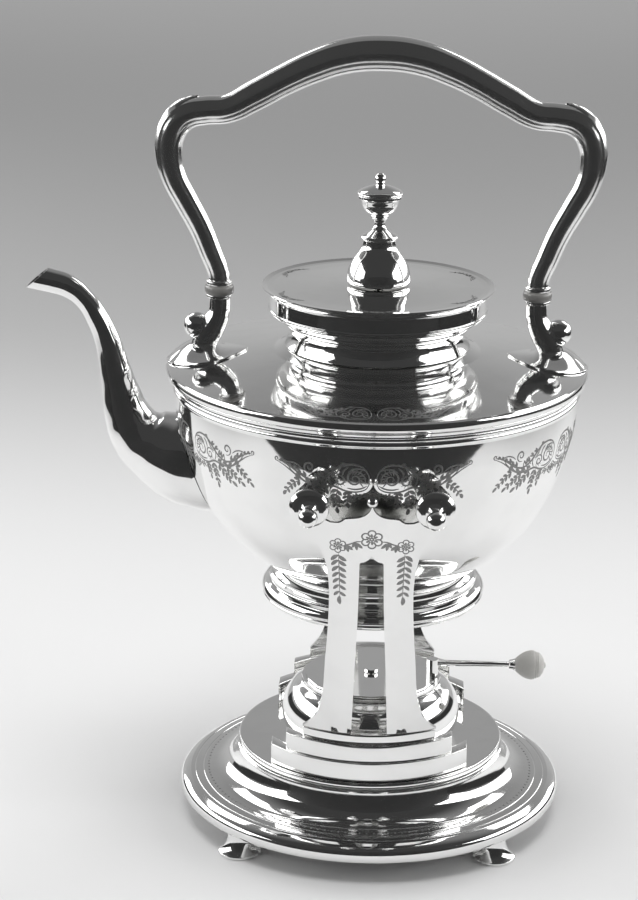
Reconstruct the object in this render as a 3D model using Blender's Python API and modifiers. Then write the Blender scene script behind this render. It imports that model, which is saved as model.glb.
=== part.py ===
"""Spirit kettle on its stand, as separate pieces with their clearances. Metres, +Z up.

The kettle hangs between two curved uprights on four pull-out pins. It tilts on the left pair, and its
right lugs, open at the bottom, lift off the right pair. A spirit burner stands on the plateau below.
Every piece is modelled round the kettle's own vertical axis, with the floor at zero. The empty
kettle_axis then puts that axis where the whole object is centred on the origin.
"""

import math

import bmesh
import bpy
from mathutils import Matrix, Vector

# Fineness and clearances
gap = 0.0003
overrun = 0.003
wide_sides = 28
middle_sides = 20
small_sides = 12
tiny_sides = 8
nut_sides = 6
arc_steps = 8
weld_distance = 0.00001
crease_angle = math.radians(40)

# Base, feet and plateau
foot_height = 0.0092
foot_radius = 0.0090
foot_top_radius = 0.0050
foot_flange_height = 0.0012
foot_inset = 0.0068
base_radius = 0.0828
base_height = 0.0211
base_sheet = 0.0012
base_flange_width = 0.0125
plateau_radius = 0.0572
plateau_height = 0.0028
plateau_sheet = 0.0013
plateau_roll_width = 0.0027
plateau_round = 0.0005

# Stepped plinth under each upright
plinth_low_height = 0.0084
plinth_middle_height = 0.0072
plinth_top_height = 0.0040
plinth_low_half_width = 0.0415
plinth_middle_half_width = 0.0350
plinth_top_half_width = 0.0280
plinth_setback = 0.0017
plinth_middle_step = 0.0009
plinth_top_step = 0.0016
plinth_inner_radius = 0.0500

# Uprights and their pins
upright_height = 0.1125
upright_thickness = 0.0020
upright_clearance = 0.0007
upright_foot_setback = 0.0005
slot_half_width = 0.0080
slot_height_share = 0.793
pin_half_span = 0.0247
pin_radius = 0.0020
pin_collar_radius = 0.0080
pin_collar_thickness = 0.0022
pin_neck_radius = 0.0021
pin_neck_length = 0.0108
pin_ball_radius = 0.0042
pin_tip_clearance = 0.0007
eye_radius = 0.0068
lug_radius = 0.0055
lug_flare = 0.0012

# Kettle body
bowl_radius = 0.0846
bowl_height = 0.0907
bowl_sheet = 0.0011
pin_height_in_bowl = 0.0638
shoulder_overhang = 0.0037
shoulder_height = 0.0148
shoulder_sheet = 0.0010
neck_inset = 0.0114
neck_height = 0.0142
neck_seat = 0.0009
kettle_foot_radius = 0.0478
kettle_foot_drop = 0.0044
strainer_hole_radius = 0.0022
strainer_hole_pitch = 0.0068
strainer_ring_count = 6

# Spout
spout_reach = 0.1465
spout_rise = 0.1311
spout_radius = 0.0196
spout_sheet = 0.0008
spout_mouth_length = 0.01127
spout_mouth_slope = math.radians(41)

# Handle
socket_inset = 0.0171
socket_lean = 0.0050
socket_height = 0.0232
socket_radius = 0.0055
lobe_radius = 0.0050
lobe_reach = 0.0048
pad_length_share = 0.385
pad_width_share = 0.272
pad_rise = 0.0022
insulator_radius = 0.0062
insulator_height = 0.0055
spigot_radius = 0.0020
spigot_length = 0.0050
cross_pin_radius = 0.0006
handle_half_span = 0.0870
handle_height = 0.0960
handle_radius = 0.00725

# Lid, hinge and finial
lid_inset = 0.0397
lid_height = 0.0108
lid_lip = 0.0009
bezel_sheet = 0.0008
bezel_clearance = 0.0006
bezel_drop = 0.0043
hinge_reach = 0.0014
hinge_drop = 0.0013
hinge_radius = 0.0024
hinge_pin_radius = 0.0010
hinge_head_radius = 0.0017
hinge_head_length = 0.0007
lid_knuckle_length = 0.0100
side_knuckle_length = 0.0050
leaf_height = 0.0055
strap_height = 0.0043
strap_clearance = 0.0008
finial_radius = 0.0135
finial_height = 0.0462
stud_radius = 0.0020
stud_length = 0.0062
nut_radius = 0.0044
nut_height = 0.0028

# Burner
font_radius = 0.0386
font_height = 0.0246
font_sheet = 0.0009
cover_radius = 0.0302
cover_thickness = 0.0011
turning_plate_radius = 0.0286
turning_plate_thickness = 0.0010
wick_circle_radius = 0.0160
wick_radius = 0.0037
wick_tube_sheet = 0.0006
wick_tube_length = 0.0180
wick_length = 0.0215
wick_count = 4
screw_radius = 0.0015
screw_head_radius = 0.0032
screw_head_height = 0.0014
screw_length = 0.0060
knuckle_radius = 0.0026
knuckle_height = 0.0070
knuckle_inset = 0.0006
lever_radius = 0.00105
lever_height = 0.0047
lever_seat_depth = 0.0030
lever_reach = 0.0624
ferrule_radius = 0.0020
ferrule_length = 0.0018
knob_radius = 0.0065
knob_length = 0.0130
knob_bore_depth = 0.0052

# Turned outlines as shares: first across, then up
foot_shares = ((1.00, 1.00), (1.02, 0.80), (1.16, 0.55), (1.40, 0.32))
base_shares = (
    (-0.320, 1.000), (-0.040, 0.990), (0.022, 0.910), (0.047, 0.758), (0.117, 0.602), (0.234, 0.479),
    (0.383, 0.403), (0.824, 0.355), (0.914, 0.303), (1.000, 0.200), (0.953, 0.000),
)
bowl_shares = (
    (1.008, 1.000), (1.012, 0.979), (1.000, 0.957), (0.991, 0.825), (0.956, 0.690), (0.903, 0.538),
    (0.824, 0.390), (0.738, 0.289), (0.635, 0.201), (0.479, 0.098), (0.300, 0.033), (0.000, 0.000),
)
shoulder_shares = (
    (0.000, 1.000), (0.045, 0.990), (0.120, 0.865), (0.334, 0.764), (0.994, 0.419), (1.000, 0.304),
    (0.994, 0.189), (0.942, 0.000),
)
neck_outer_shares = (
    (1.000, 1.000), (0.419, 0.739), (0.378, 0.655), (0.135, 0.542), (0.000, 0.359), (0.230, 0.000),
)
neck_inner_shares = ((0.068, 0.000), (-0.135, 0.359), (0.095, 0.697), (0.095, 1.000))
kettle_foot_outer_shares = (
    (0.846, 1.000), (0.916, 0.760), (0.927, 0.560), (1.000, 0.232), (0.973, 0.000),
)
kettle_foot_inner_shares = ((0.941, 0.000), (0.875, 0.700), (0.820, 1.000))
lid_outer_shares = (
    (0.741, 0.935), (0.947, 0.944), (0.996, 1.000), (1.000, 0.954), (0.942, 0.796), (0.936, 0.000),
)
lid_inner_shares = ((0.914, 0.000), (0.914, 0.722), (0.741, 0.787))
lid_centre_top_share = 1.056
lid_centre_under_share = 0.944
finial_shares = (
    (0.000, 1.000), (0.170, 0.940), (0.130, 0.905), (0.480, 0.868), (0.700, 0.815), (0.680, 0.775),
    (0.570, 0.755), (0.500, 0.680), (0.310, 0.630), (0.160, 0.535), (0.310, 0.472), (0.570, 0.420),
    (0.510, 0.385), (0.550, 0.320), (0.755, 0.240), (0.880, 0.167), (0.963, 0.100), (1.000, 0.030),
    (0.985, 0.000),
)
font_shares = ((0.782, 0.985), (0.894, 0.860), (0.974, 0.650), (1.000, 0.420), (0.979, 0.235),
               (0.922, 0.090), (0.881, 0.000))
font_base_shares = ((0.840, 0.000), (0.815, 0.045), (0.000, 0.060))
font_mouth_share = 0.762
knob_shares = ((0.000, 1.000), (0.420, 0.970), (0.800, 0.860), (1.000, 0.640), (0.960, 0.420),
               (0.740, 0.200), (0.460, 0.070), (0.380, 0.000))

# Outline of an upright: half width over the eye's reach, height over the pins' height
upright_side_shares = ((0.889, 0.000), (0.810, 0.022), (0.714, 0.062), (0.650, 0.120), (0.613, 0.187),
                       (0.590, 0.316), (0.559, 0.449), (0.540, 0.596), (0.546, 0.671), (0.581, 0.749),
                       (0.654, 0.813), (0.810, 0.871), (0.959, 0.920))
upright_top_shares = ((0.500, 0.936), (0.413, 0.934), (0.337, 0.949), (0.190, 0.957), (0.070, 0.972),
                      (0.000, 1.030))
slot_shares = ((1.000, 0.000), (0.950, 0.398), (0.875, 0.678), (0.850, 0.812), (0.690, 0.890),
               (0.375, 0.945), (0.000, 1.000))

# Spout: reach, rise and radius along its middle line
spout_shares = (
    (-0.160, -0.020, 0.780), (0.000, 0.000, 0.867), (0.125, 0.030, 0.954), (0.268, 0.090, 1.000), (0.386, 0.136, 0.811),
    (0.471, 0.185, 0.656), (0.538, 0.288, 0.536), (0.576, 0.427, 0.380), (0.601, 0.539, 0.309),
    (0.638, 0.684, 0.265), (0.687, 0.795, 0.242), (0.754, 0.894, 0.219), (0.840, 0.962, 0.250),
    (0.922, 0.984, 0.255), (1.000, 1.000, 0.253), (1.080, 1.020, 0.253),
)
spout_root_reach_share = 0.733
spout_root_height_share = 0.527
strainer_height_share = 0.590

# Handle: across, up and radius, first up the side and then over the bow
handle_side_shares = (
    (0.000, 0.000, 0.620), (0.000, 0.030, 0.620), (0.135, 0.107, 0.634), (0.375, 0.237, 0.662),
    (0.668, 0.352, 0.703), (0.904, 0.456, 0.703), (1.000, 0.555, 0.759), (0.966, 0.628, 0.828),
    (0.832, 0.685, 0.855),
)
handle_bow_shares = (
    (0.908, 0.721, 0.841), (0.828, 0.742, 0.814), (0.718, 0.750, 0.814), (0.598, 0.811, 0.883),
    (0.456, 0.880, 0.855), (0.320, 0.940, 0.924), (0.180, 0.983, 0.979), (0.000, 1.000, 1.000),
)
spur_shares = ((0.960, 0.675, 0.640), (0.940, 0.735, 0.590), (0.885, 0.790, 0.300), (0.855, 0.815, 0.100))
socket_shares = ((-1.000, 1.000, 0.850), (-1.000, 0.800, 0.860), (-0.540, 0.560, 1.000),
                 (-0.060, 0.300, 0.860), (0.000, 0.180, 0.760), (0.000, -0.100, 0.760))
lobe_height_share = 0.520
eye_start_share = 0.050
neck_of_pin_share = 0.600


# Places that follow from the sizes
base_z = foot_height + gap
plateau_z = base_z + base_height + gap
plateau_top_z = plateau_z + plateau_height
plinth_low_z = plateau_top_z + gap
plinth_middle_z = plinth_low_z + plinth_low_height + gap
plinth_top_z = plinth_middle_z + plinth_middle_height + gap
upright_z = plinth_top_z + plinth_top_height + gap
pin_z = upright_z + upright_height

plinth_low_radius = plateau_radius - plinth_setback
plinth_middle_radius = plinth_low_radius - plinth_middle_step
plinth_top_radius = plinth_middle_radius - plinth_top_step

bowl_z = pin_z - pin_height_in_bowl
shoulder_z = bowl_z + bowl_height + gap
shoulder_radius = bowl_radius + shoulder_overhang
lid_radius = shoulder_radius - lid_inset
neck_radius = lid_radius - neck_inset
neck_z = shoulder_z + shoulder_height + gap
mouth_z = neck_z + neck_height
lid_z = mouth_z + gap

lid_band_radius = lid_radius * lid_outer_shares[-1][0]
mouth_radius = lid_band_radius - lid_lip
mouth_bore_radius = neck_radius + (mouth_radius - neck_radius) * neck_inner_shares[-1][0]
shoulder_bore_radius = neck_radius + (mouth_radius - neck_radius) * neck_inner_shares[0][0] - neck_seat
hinge_y = lid_radius + hinge_reach
hinge_z = lid_z - hinge_drop

upright_foot_radius = plinth_top_radius - upright_foot_setback
upright_head_radius = shoulder_radius + upright_clearance + upright_thickness
upright_lean = (upright_head_radius - upright_foot_radius) / upright_height
upright_half_width = pin_half_span + eye_radius

socket_x = shoulder_radius - socket_inset
handle_foot_x = socket_x - socket_lean

font_z = plateau_top_z + gap
cover_z = font_z + font_height + gap
turning_plate_z = cover_z + cover_thickness + gap
lever_z = turning_plate_z + turning_plate_thickness + lever_height

parts = bpy.data.collections.new("spirit_kettle_on_stand")
cutters = bpy.data.collections.new("cutters")


def scaled(shares, across, up, across_from=0.0, up_from=0.0):
    """An outline in metres from an outline in shares."""
    return [(across_from + a * across, up_from + b * up) for a, b in shares]


def smooth_path(points, steps):
    """Points along a smooth curve through the given ones, steps to each stretch."""
    ends = [points[0] * 2 - points[1]] + points + [points[-1] * 2 - points[-2]]
    path = []
    for before, start, end, after in zip(ends, ends[1:], ends[2:], ends[3:]):
        for step in range(steps):
            t = step / steps
            pull_in = (-t + 2 * t**2 - t**3) / 2
            near = (2 - 5 * t**2 + 3 * t**3) / 2
            far = (t + 4 * t**2 - 3 * t**3) / 2
            pull_out = (t**3 - t**2) / 2
            path.append(before * pull_in + start * near + end * far + after * pull_out)
    path.append(points[-1])
    return path


def across_at(outline, height):
    """Radius of a turned outline at a height, on its straight stretches."""
    for (high_r, high_z), (low_r, low_z) in zip(outline, outline[1:]):
        if low_z <= height <= high_z and high_z > low_z:
            return low_r + (high_r - low_r) * (height - low_z) / (high_z - low_z)
    return outline[-1][0]


def up_at(outline, radius):
    """Height of the underside of a turned outline at a radius."""
    for (wide_r, wide_z), (slim_r, slim_z) in reversed(list(zip(outline, outline[1:]))):
        if slim_r <= radius <= wide_r and wide_r > slim_r:
            return slim_z + (wide_z - slim_z) * (radius - slim_r) / (wide_r - slim_r)
    return outline[-1][1]


def grown(outline, distance):
    """The outline moved outwards by a distance. It runs down the outer side."""
    moved = []
    normals = []
    for (r0, z0), (r1, z1) in zip(outline, outline[1:]):
        normals.append(Vector((z0 - z1, r1 - r0)).normalized())
    for index, (r, z) in enumerate(outline):
        before = normals[max(index - 1, 0)]
        after = normals[min(index, len(normals) - 1)]
        mitre = (before + after).normalized()
        reach = distance / mitre.dot(after)
        moved.append((0.0 if r == 0.0 else r + mitre.x * reach, z + mitre.y * reach))
    return moved


# The outlines that several pieces share
bowl_outline = scaled(bowl_shares, bowl_radius, bowl_height, up_from=bowl_z)
shoulder_outline = scaled(shoulder_shares, shoulder_radius - shoulder_bore_radius, shoulder_height,
                          shoulder_bore_radius, shoulder_z)
neck_outline = scaled(neck_outer_shares, mouth_radius - neck_radius, neck_height, neck_radius, neck_z)
lid_outline = scaled(lid_outer_shares, lid_radius, lid_height, up_from=lid_z)


def upright_radius_at(height):
    """Outer radius of the leaning plate of an upright."""
    return upright_foot_radius + upright_lean * (height - upright_z)


def plate_inside_at(x, height):
    """How far from the middle plane the inner face of an upright stands."""
    inner = upright_radius_at(height) - upright_thickness
    return math.sqrt(inner**2 - x**2)


def round_the_pin(radius, function):
    """Values of a function of x and height on a circle round a pin."""
    turns = [2 * math.pi * step / tiny_sides for step in range(tiny_sides)]
    return [function(pin_half_span + radius * math.cos(turn), pin_z + radius * math.sin(turn))
            for turn in turns]


def bowl_outside_at(x, height):
    """How far from the middle plane the bowl reaches."""
    return math.sqrt(across_at(bowl_outline, height)**2 - x**2)


lug_face_y = min(round_the_pin(lug_radius, plate_inside_at)) - gap
eye_inner_y = lug_face_y + gap
eye_outer_y = max(round_the_pin(eye_radius, plate_inside_at)) + upright_thickness
pin_tip_y = max(round_the_pin(pin_radius, bowl_outside_at)) + pin_tip_clearance


def finish(name, colour, roughness, metallic):
    """A Principled material of its own for a piece."""
    material = bpy.data.materials.new(name)
    material.use_nodes = True
    shader = material.node_tree.nodes["Principled BSDF"]
    shader.inputs["Base Color"].default_value = (*colour, 1.0)
    shader.inputs["Roughness"].default_value = roughness
    shader.inputs["Metallic"].default_value = metallic
    material.diffuse_color = (*colour, 1.0)
    return material


def silver(name):
    return finish(name, (0.82, 0.82, 0.81), 0.08, 1.0)


def ivory(name):
    return finish(name, (0.72, 0.70, 0.66), 0.35, 0.0)


def cotton(name):
    return finish(name, (0.80, 0.79, 0.75), 0.90, 0.0)


def body(name, spot):
    """An empty on the axis of a joint, which carries the pieces that move on it."""
    empty = bpy.data.objects.new(name, None)
    bpy.context.scene.collection.objects.link(empty)
    empty["spot"] = spot
    if name != "kettle_axis":
        empty.parent = kettle_axis
        empty.location = spot
    return empty


def place(thing, carrier, spot=(0.0, 0.0, 0.0), turn=(0.0, 0.0, 0.0)):
    """Hang an object on its body. The spot counts from the kettle's axis on the floor."""
    thing.parent = carrier
    thing.location = Vector(spot) - Vector(carrier["spot"])
    thing.rotation_euler = turn
    return thing


def piece(thing, carrier, material, spot=(0.0, 0.0, 0.0), turn=(0.0, 0.0, 0.0)):
    """Make an object one of the kettle's pieces."""
    parts.objects.link(thing)
    thing.data.materials.clear()
    thing.data.materials.append(material(thing.name))
    return place(thing, carrier, spot, turn)


def tool(thing, carrier, spot=(0.0, 0.0, 0.0), turn=(0.0, 0.0, 0.0)):
    """Make an object a tool that only cuts or joins."""
    cutters.objects.link(thing)
    thing.hide_render = True
    thing.display_type = "WIRE"
    return place(thing, carrier, spot, turn)


def combine(thing, other, operation):
    boolean = thing.modifiers.new(operation.lower(), "BOOLEAN")
    boolean.operation = operation
    boolean.object = other


def turned(name, outline, sides, closed=False, sheet=0.0):
    """A lathe shape from an outline that runs down its outer side."""
    mesh = bpy.data.meshes.new(name)
    count = len(outline)
    edges = [(index, index + 1) for index in range(count - 1)]
    if closed:
        edges.append((count - 1, 0))
    mesh.from_pydata([(r, 0.0, z) for r, z in outline], edges, [])
    thing = bpy.data.objects.new(name, mesh)
    screw = thing.modifiers.new("turn", "SCREW")
    screw.steps = sides
    screw.render_steps = sides
    screw.use_merge_vertices = True
    screw.merge_threshold = weld_distance
    if sheet:
        shell = thing.modifiers.new("sheet", "SOLIDIFY")
        shell.thickness = sheet
        shell.offset = -1.0
        shell.use_even_offset = True
    return thing


def from_bmesh(name, shape, smooth=True):
    mesh = bpy.data.meshes.new(name)
    shape.to_mesh(mesh)
    shape.free()
    if smooth:
        mesh.shade_smooth()
        mesh.set_sharp_from_angle(angle=crease_angle)
    return bpy.data.objects.new(name, mesh)


def cylinder(name, radius, length, axis="Z", sides=small_sides):
    """A round bar centred on its own origin."""
    shape = bmesh.new()
    bmesh.ops.create_cone(shape, cap_ends=True, segments=sides, radius1=radius, radius2=radius, depth=length)
    towards = {"X": Matrix.Rotation(math.pi / 2, 3, "Y"), "Y": Matrix.Rotation(math.pi / 2, 3, "X"),
               "Z": Matrix.Identity(3)}
    bmesh.ops.rotate(shape, verts=shape.verts, matrix=towards[axis])
    return from_bmesh(name, shape)


def box(name, size):
    """A block centred on its own origin."""
    shape = bmesh.new()
    bmesh.ops.create_cube(shape, size=1.0)
    bmesh.ops.scale(shape, verts=shape.verts, vec=size)
    return from_bmesh(name, shape, smooth=False)


def ball(name, half_size, sides=small_sides):
    """A sphere drawn out to half sizes along X, Y and Z. No edge lies in its middle plane."""
    shape = bmesh.new()
    bmesh.ops.create_uvsphere(shape, u_segments=sides, v_segments=sides // 2, radius=1.0)
    half_facet = Matrix.Rotation(math.pi / sides, 3, "Z")
    bmesh.ops.rotate(shape, verts=shape.verts, matrix=half_facet)
    bmesh.ops.scale(shape, verts=shape.verts, vec=half_size)
    return from_bmesh(name, shape)


def mesh_of(curve_object):
    """The closed mesh of a curve, in place of the curve."""
    bpy.context.scene.collection.objects.link(curve_object)
    depsgraph = bpy.context.evaluated_depsgraph_get()
    mesh = bpy.data.meshes.new_from_object(curve_object.evaluated_get(depsgraph))
    name = curve_object.name
    bpy.data.objects.remove(curve_object)
    shape = bmesh.new()
    shape.from_mesh(mesh)
    bmesh.ops.remove_doubles(shape, verts=shape.verts, dist=weld_distance)
    bmesh.ops.recalc_face_normals(shape, faces=shape.faces)
    bpy.data.meshes.remove(mesh)
    return from_bmesh(name, shape)


def tube(name, path, radii, resolution):
    """A round bar along a path whose radius changes from point to point."""
    curve = bpy.data.curves.new(name, "CURVE")
    curve.dimensions = "3D"
    curve.bevel_depth = max(radii)
    curve.bevel_resolution = resolution
    curve.use_fill_caps = True
    spline = curve.splines.new("POLY")
    spline.points.add(len(path) - 1)
    half_facet = math.pi / (2 * resolution + 4)
    for point, spot, radius in zip(spline.points, path, radii):
        point.co = (*spot, 1.0)
        point.radius = radius / max(radii)
        point.tilt = half_facet
    return mesh_of(bpy.data.objects.new(name, curve))


def flat(name, outline, thickness):
    """A flat outline with a thickness, centred on its own plane."""
    curve = bpy.data.curves.new(name, "CURVE")
    curve.dimensions = "2D"
    curve.fill_mode = "BOTH"
    curve.extrude = thickness / 2
    spline = curve.splines.new("POLY")
    spline.points.add(len(outline) - 1)
    for point, (x, y) in zip(spline.points, outline):
        point.co = (x, y, 0.0, 1.0)
    spline.use_cyclic_u = True
    return mesh_of(bpy.data.objects.new(name, curve))


def arc(radius, half_width, steps):
    """Points of an arc round the axis, from left to right in front of it."""
    reach = math.asin(half_width / radius)
    turns = [reach * (2 * step / steps - 1) for step in range(steps + 1)]
    return [(radius * math.sin(turn), -radius * math.cos(turn)) for turn in turns]


def make_base():
    across = base_radius - plateau_radius
    outline = scaled(base_shares, across, base_height, plateau_radius, base_z)
    outline.append((base_radius - base_flange_width, base_z))
    piece(turned("base_dish", outline, wide_sides, sheet=base_sheet), stand, silver)

    top = plateau_top_z
    roll = plateau_radius - plateau_roll_width
    plateau_outline = [
        (0.0, top), (plateau_radius - plateau_round, top), (plateau_radius, top - plateau_round),
        (plateau_radius, plateau_z + plateau_round), (plateau_radius - plateau_round, plateau_z),
        (roll, plateau_z), (roll, top - plateau_sheet), (0.0, top - plateau_sheet),
    ]
    piece(turned("plateau", plateau_outline, wide_sides), stand, silver)

    outline = [(0.0, foot_height)] + scaled(foot_shares, foot_top_radius, foot_height)
    outline += [(foot_radius, foot_flange_height), (foot_radius, 0.0), (0.0, 0.0)]
    reach = (base_radius - foot_inset) * math.sqrt(0.5)
    for depth_name, depth in (("front", -reach), ("back", reach)):
        for side_name, side in (("left", -reach), ("right", reach)):
            foot = turned(f"foot_{depth_name}_{side_name}", outline, small_sides)
            piece(foot, stand, silver, (side, depth, 0.0))


def make_plinth(depth_name, half_turn):
    courses = (
        ("low", plinth_low_z, plinth_low_height, plinth_low_radius, plinth_low_half_width),
        ("middle", plinth_middle_z, plinth_middle_height, plinth_middle_radius, plinth_middle_half_width),
        ("top", plinth_top_z, plinth_top_height, plinth_top_radius, plinth_top_half_width),
    )
    for course_name, z, height, radius, half_width in courses:
        outer = arc(radius, half_width, arc_steps)
        inner = arc(plinth_inner_radius, half_width, arc_steps)
        course = flat(f"plinth_{course_name}_{depth_name}", outer + inner[::-1], height)
        piece(course, stand, silver, (0.0, 0.0, z + height / 2), (0.0, 0.0, half_turn))


def make_upright(depth_name, front):
    """A leaning, curved plate: its front outline cut out of a cone round the kettle's axis."""
    half_width = upright_half_width
    side = scaled(upright_side_shares, half_width, upright_height, up_from=upright_z)
    turns = [math.pi * (step / arc_steps - eye_start_share) for step in range(arc_steps)]
    eye = [(pin_half_span + eye_radius * math.cos(turn), pin_z + eye_radius * math.sin(turn)) for turn in turns]
    top = scaled(upright_top_shares, half_width, upright_height, up_from=upright_z)
    slot = scaled(slot_shares, slot_half_width, upright_height * slot_height_share, up_from=upright_z)
    right = side + eye + top
    left = [(-x, z) for x, z in reversed(right[:-1])]
    slot_left = [(-x, z) for x, z in slot]
    slot_right = slot[-2::-1]
    depth = 2 * upright_head_radius
    plate = flat(f"upright_{depth_name}", right + left + slot_left + slot_right, depth)
    piece(plate, stand, silver, (0.0, front * (depth / 2 + overrun), 0.0), (math.pi / 2, 0.0, 0.0))

    low = upright_z - overrun
    high = pin_z + eye_radius + overrun
    cone_outline = [
        (upright_radius_at(high), high), (upright_radius_at(low), low),
        (upright_radius_at(low) - upright_thickness, low), (upright_radius_at(high) - upright_thickness, high),
    ]
    cone_sides = 2 * wide_sides
    cone = turned(f"upright_cone_{depth_name}", cone_outline, cone_sides, closed=True)
    combine(plate, tool(cone, stand, turn=(0.0, 0.0, math.pi / cone_sides)), "INTERSECT")

    eye_length = eye_outer_y - eye_inner_y
    for x in (-pin_half_span, pin_half_span):
        boss = cylinder("eye_boss", eye_radius, eye_length, "Y")
        combine(plate, tool(boss, stand, (x, front * (eye_inner_y + eye_length / 2), pin_z)), "UNION")
    for x in (-pin_half_span, pin_half_span):
        hole = cylinder("eye_hole", pin_radius + gap, 2 * eye_length + overrun, "Y")
        combine(plate, tool(hole, stand, (x, front * eye_inner_y, pin_z)), "DIFFERENCE")


def make_pin(name, carrier, front, x):
    """A pin that goes in towards the kettle: shaft, collar, neck and ball. It is turned on its own axis."""
    collar_y = eye_outer_y + gap
    neck_start = collar_y + pin_collar_thickness
    ball_middle = neck_start + pin_neck_length
    ball_turns = [math.pi * step / small_sides * 2 for step in range(small_sides // 2)]
    outline = []
    for turn in ball_turns:
        reach = pin_ball_radius * math.sin(turn)
        height = ball_middle + pin_ball_radius * math.cos(turn)
        if reach >= pin_neck_radius * neck_of_pin_share or turn < math.pi / 2:
            outline.append((reach, height))
    outline += [
        (pin_neck_radius * neck_of_pin_share, ball_middle - pin_ball_radius), (pin_neck_radius, neck_start),
        (pin_collar_radius, neck_start), (pin_collar_radius, collar_y), (pin_radius, collar_y),
        (pin_radius, pin_tip_y), (0.0, pin_tip_y),
    ]
    pin = turned(name, outline, small_sides)
    piece(pin, carrier, silver, (x, 0.0, pin_z), (-front * math.pi / 2, 0.0, 0.0))


def make_bowl():
    bowl = piece(turned("bowl", bowl_outline, wide_sides, sheet=bowl_sheet), kettle, silver)
    middle_z = bowl_z + bowl_height * strainer_height_share
    reach = across_at(bowl_outline, middle_z)
    spots = [(0.0, 0.0)]
    for step in range(strainer_ring_count):
        turn = 2 * math.pi / strainer_ring_count * step
        spots.append((strainer_hole_pitch * math.cos(turn), strainer_hole_pitch * math.sin(turn)))
    for y, up in spots:
        hole = cylinder("strainer_hole", strainer_hole_radius, 4 * strainer_hole_pitch, "X", tiny_sides)
        combine(bowl, tool(hole, kettle, (-reach, y, middle_z + up)), "DIFFERENCE")


def make_shoulder_and_neck():
    shoulder = turned("shoulder", shoulder_outline, wide_sides, sheet=shoulder_sheet)
    piece(shoulder, kettle, silver)
    inner = scaled(neck_inner_shares, mouth_radius - neck_radius, neck_height, neck_radius, neck_z)
    piece(turned("neck", neck_outline + inner, wide_sides, closed=True), kettle, silver)


def make_kettle_foot():
    """The ring under the bowl. Its top edge follows the bowl's underside."""
    low = bowl_z - kettle_foot_drop
    seat_radius = kettle_foot_radius * kettle_foot_outer_shares[0][0]
    inner_radius = kettle_foot_radius * kettle_foot_inner_shares[-1][0]
    seat = up_at(bowl_outline, seat_radius) - gap
    outer = scaled(kettle_foot_outer_shares, kettle_foot_radius, seat - gap - low, up_from=low)
    inner = scaled(kettle_foot_inner_shares, kettle_foot_radius, seat - gap - low, up_from=low)
    inner[-1] = (inner_radius, up_at(bowl_outline, inner_radius) - 2 * gap)
    piece(turned("kettle_foot", outer + inner, wide_sides, closed=True), kettle, silver)


def kettle_skin(name):
    """A solid as big as the closed kettle and the gap round it, for cutting what stands on it."""
    outline = [(0.0, shoulder_outline[0][1])] + shoulder_outline + bowl_outline
    return tool(turned(name, grown(outline, gap), wide_sides), kettle)


def spout_path(inset):
    root_x = bowl_radius * spout_root_reach_share
    root_z = bowl_z + bowl_height * spout_root_height_share
    across = spout_reach - spout_mouth_length / 2 * math.cos(spout_mouth_slope) - root_x
    up = bowl_z + spout_rise - root_z
    points = [Vector((root_x + a * across, root_z + b * up, c * spout_radius)) for a, b, c in spout_shares]
    path = smooth_path(points, 1)
    spots = [Vector((-x, 0.0, z)) for x, z, radius in path]
    return spots, [radius - inset for x, z, radius in path]


def make_spout(skin):
    spots, radii = spout_path(0.0)
    spout = piece(tube("spout", spots, radii, 3), kettle, silver)
    spots, radii = spout_path(spout_sheet)
    way_in = (spots[0] - spots[1]).normalized()
    way_on = (spots[-1] - spots[-2]).normalized()
    spots = [spots[0] + way_in * overrun] + spots + [spots[-1] + way_on * overrun]
    channel = tube("spout_channel", spots, radii[:1] + radii + radii[-1:], 3)
    combine(spout, tool(channel, kettle), "DIFFERENCE")
    combine(spout, skin, "DIFFERENCE")

    half_mouth = spout_mouth_length / 2
    tip_x = -spout_reach
    mouth_x = tip_x + half_mouth * math.cos(spout_mouth_slope)
    mouth_z_middle = bowl_z + spout_rise
    size = 3 * spout_mouth_length
    away = Vector((-math.sin(spout_mouth_slope), 0.0, math.cos(spout_mouth_slope)))
    middle = Vector((mouth_x, 0.0, mouth_z_middle)) + away * size / 2
    mouth = tool(box("spout_mouth_cut", (size, size, size)), kettle, middle, (0.0, -spout_mouth_slope, 0.0))
    combine(spout, mouth, "DIFFERENCE")


def make_lug(name, skin, front, side):
    """An eye on the bowl round a pin. The right ones are open at the bottom, so they lift off."""
    root_y = bowl_outside_at(pin_half_span + lug_radius, pin_z - lug_radius) - overrun
    length = lug_face_y - root_y
    lug = cylinder(name, lug_radius, length, "Y")
    spot = (side * pin_half_span, front * (root_y + length / 2), pin_z)
    piece(lug, kettle, silver, spot)
    combine(lug, skin, "DIFFERENCE")
    bore = cylinder("lug_bore", pin_radius + gap, length + overrun, "Y")
    combine(lug, tool(bore, kettle, spot), "DIFFERENCE")
    if side > 0:
        clear = pin_radius + gap
        low = -lug_radius - overrun
        outline = [(clear, 0.0), (-clear, 0.0), (-clear - lug_flare, low), (clear + lug_flare, low)]
        mouth = flat("lug_mouth", outline, length + overrun)
        combine(lug, tool(mouth, kettle, spot, (math.pi / 2, 0.0, 0.0)), "DIFFERENCE")


def handle_spot(a, b, side, bow):
    """A place on the handle's middle line from its shares."""
    foot_z = insulator_z + insulator_height + gap
    if bow:
        across = a * handle_half_span
    else:
        across = handle_foot_x + a * (handle_half_span - handle_foot_x)
    return Vector((side * across, 0.0, foot_z + b * handle_height))


shoulder_at_socket_z = across_at([(z, r) for r, z in reversed(shoulder_outline[3:5])], socket_x)
socket_z = shoulder_at_socket_z + gap
insulator_z = socket_z + socket_height + pad_rise + gap


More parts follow.
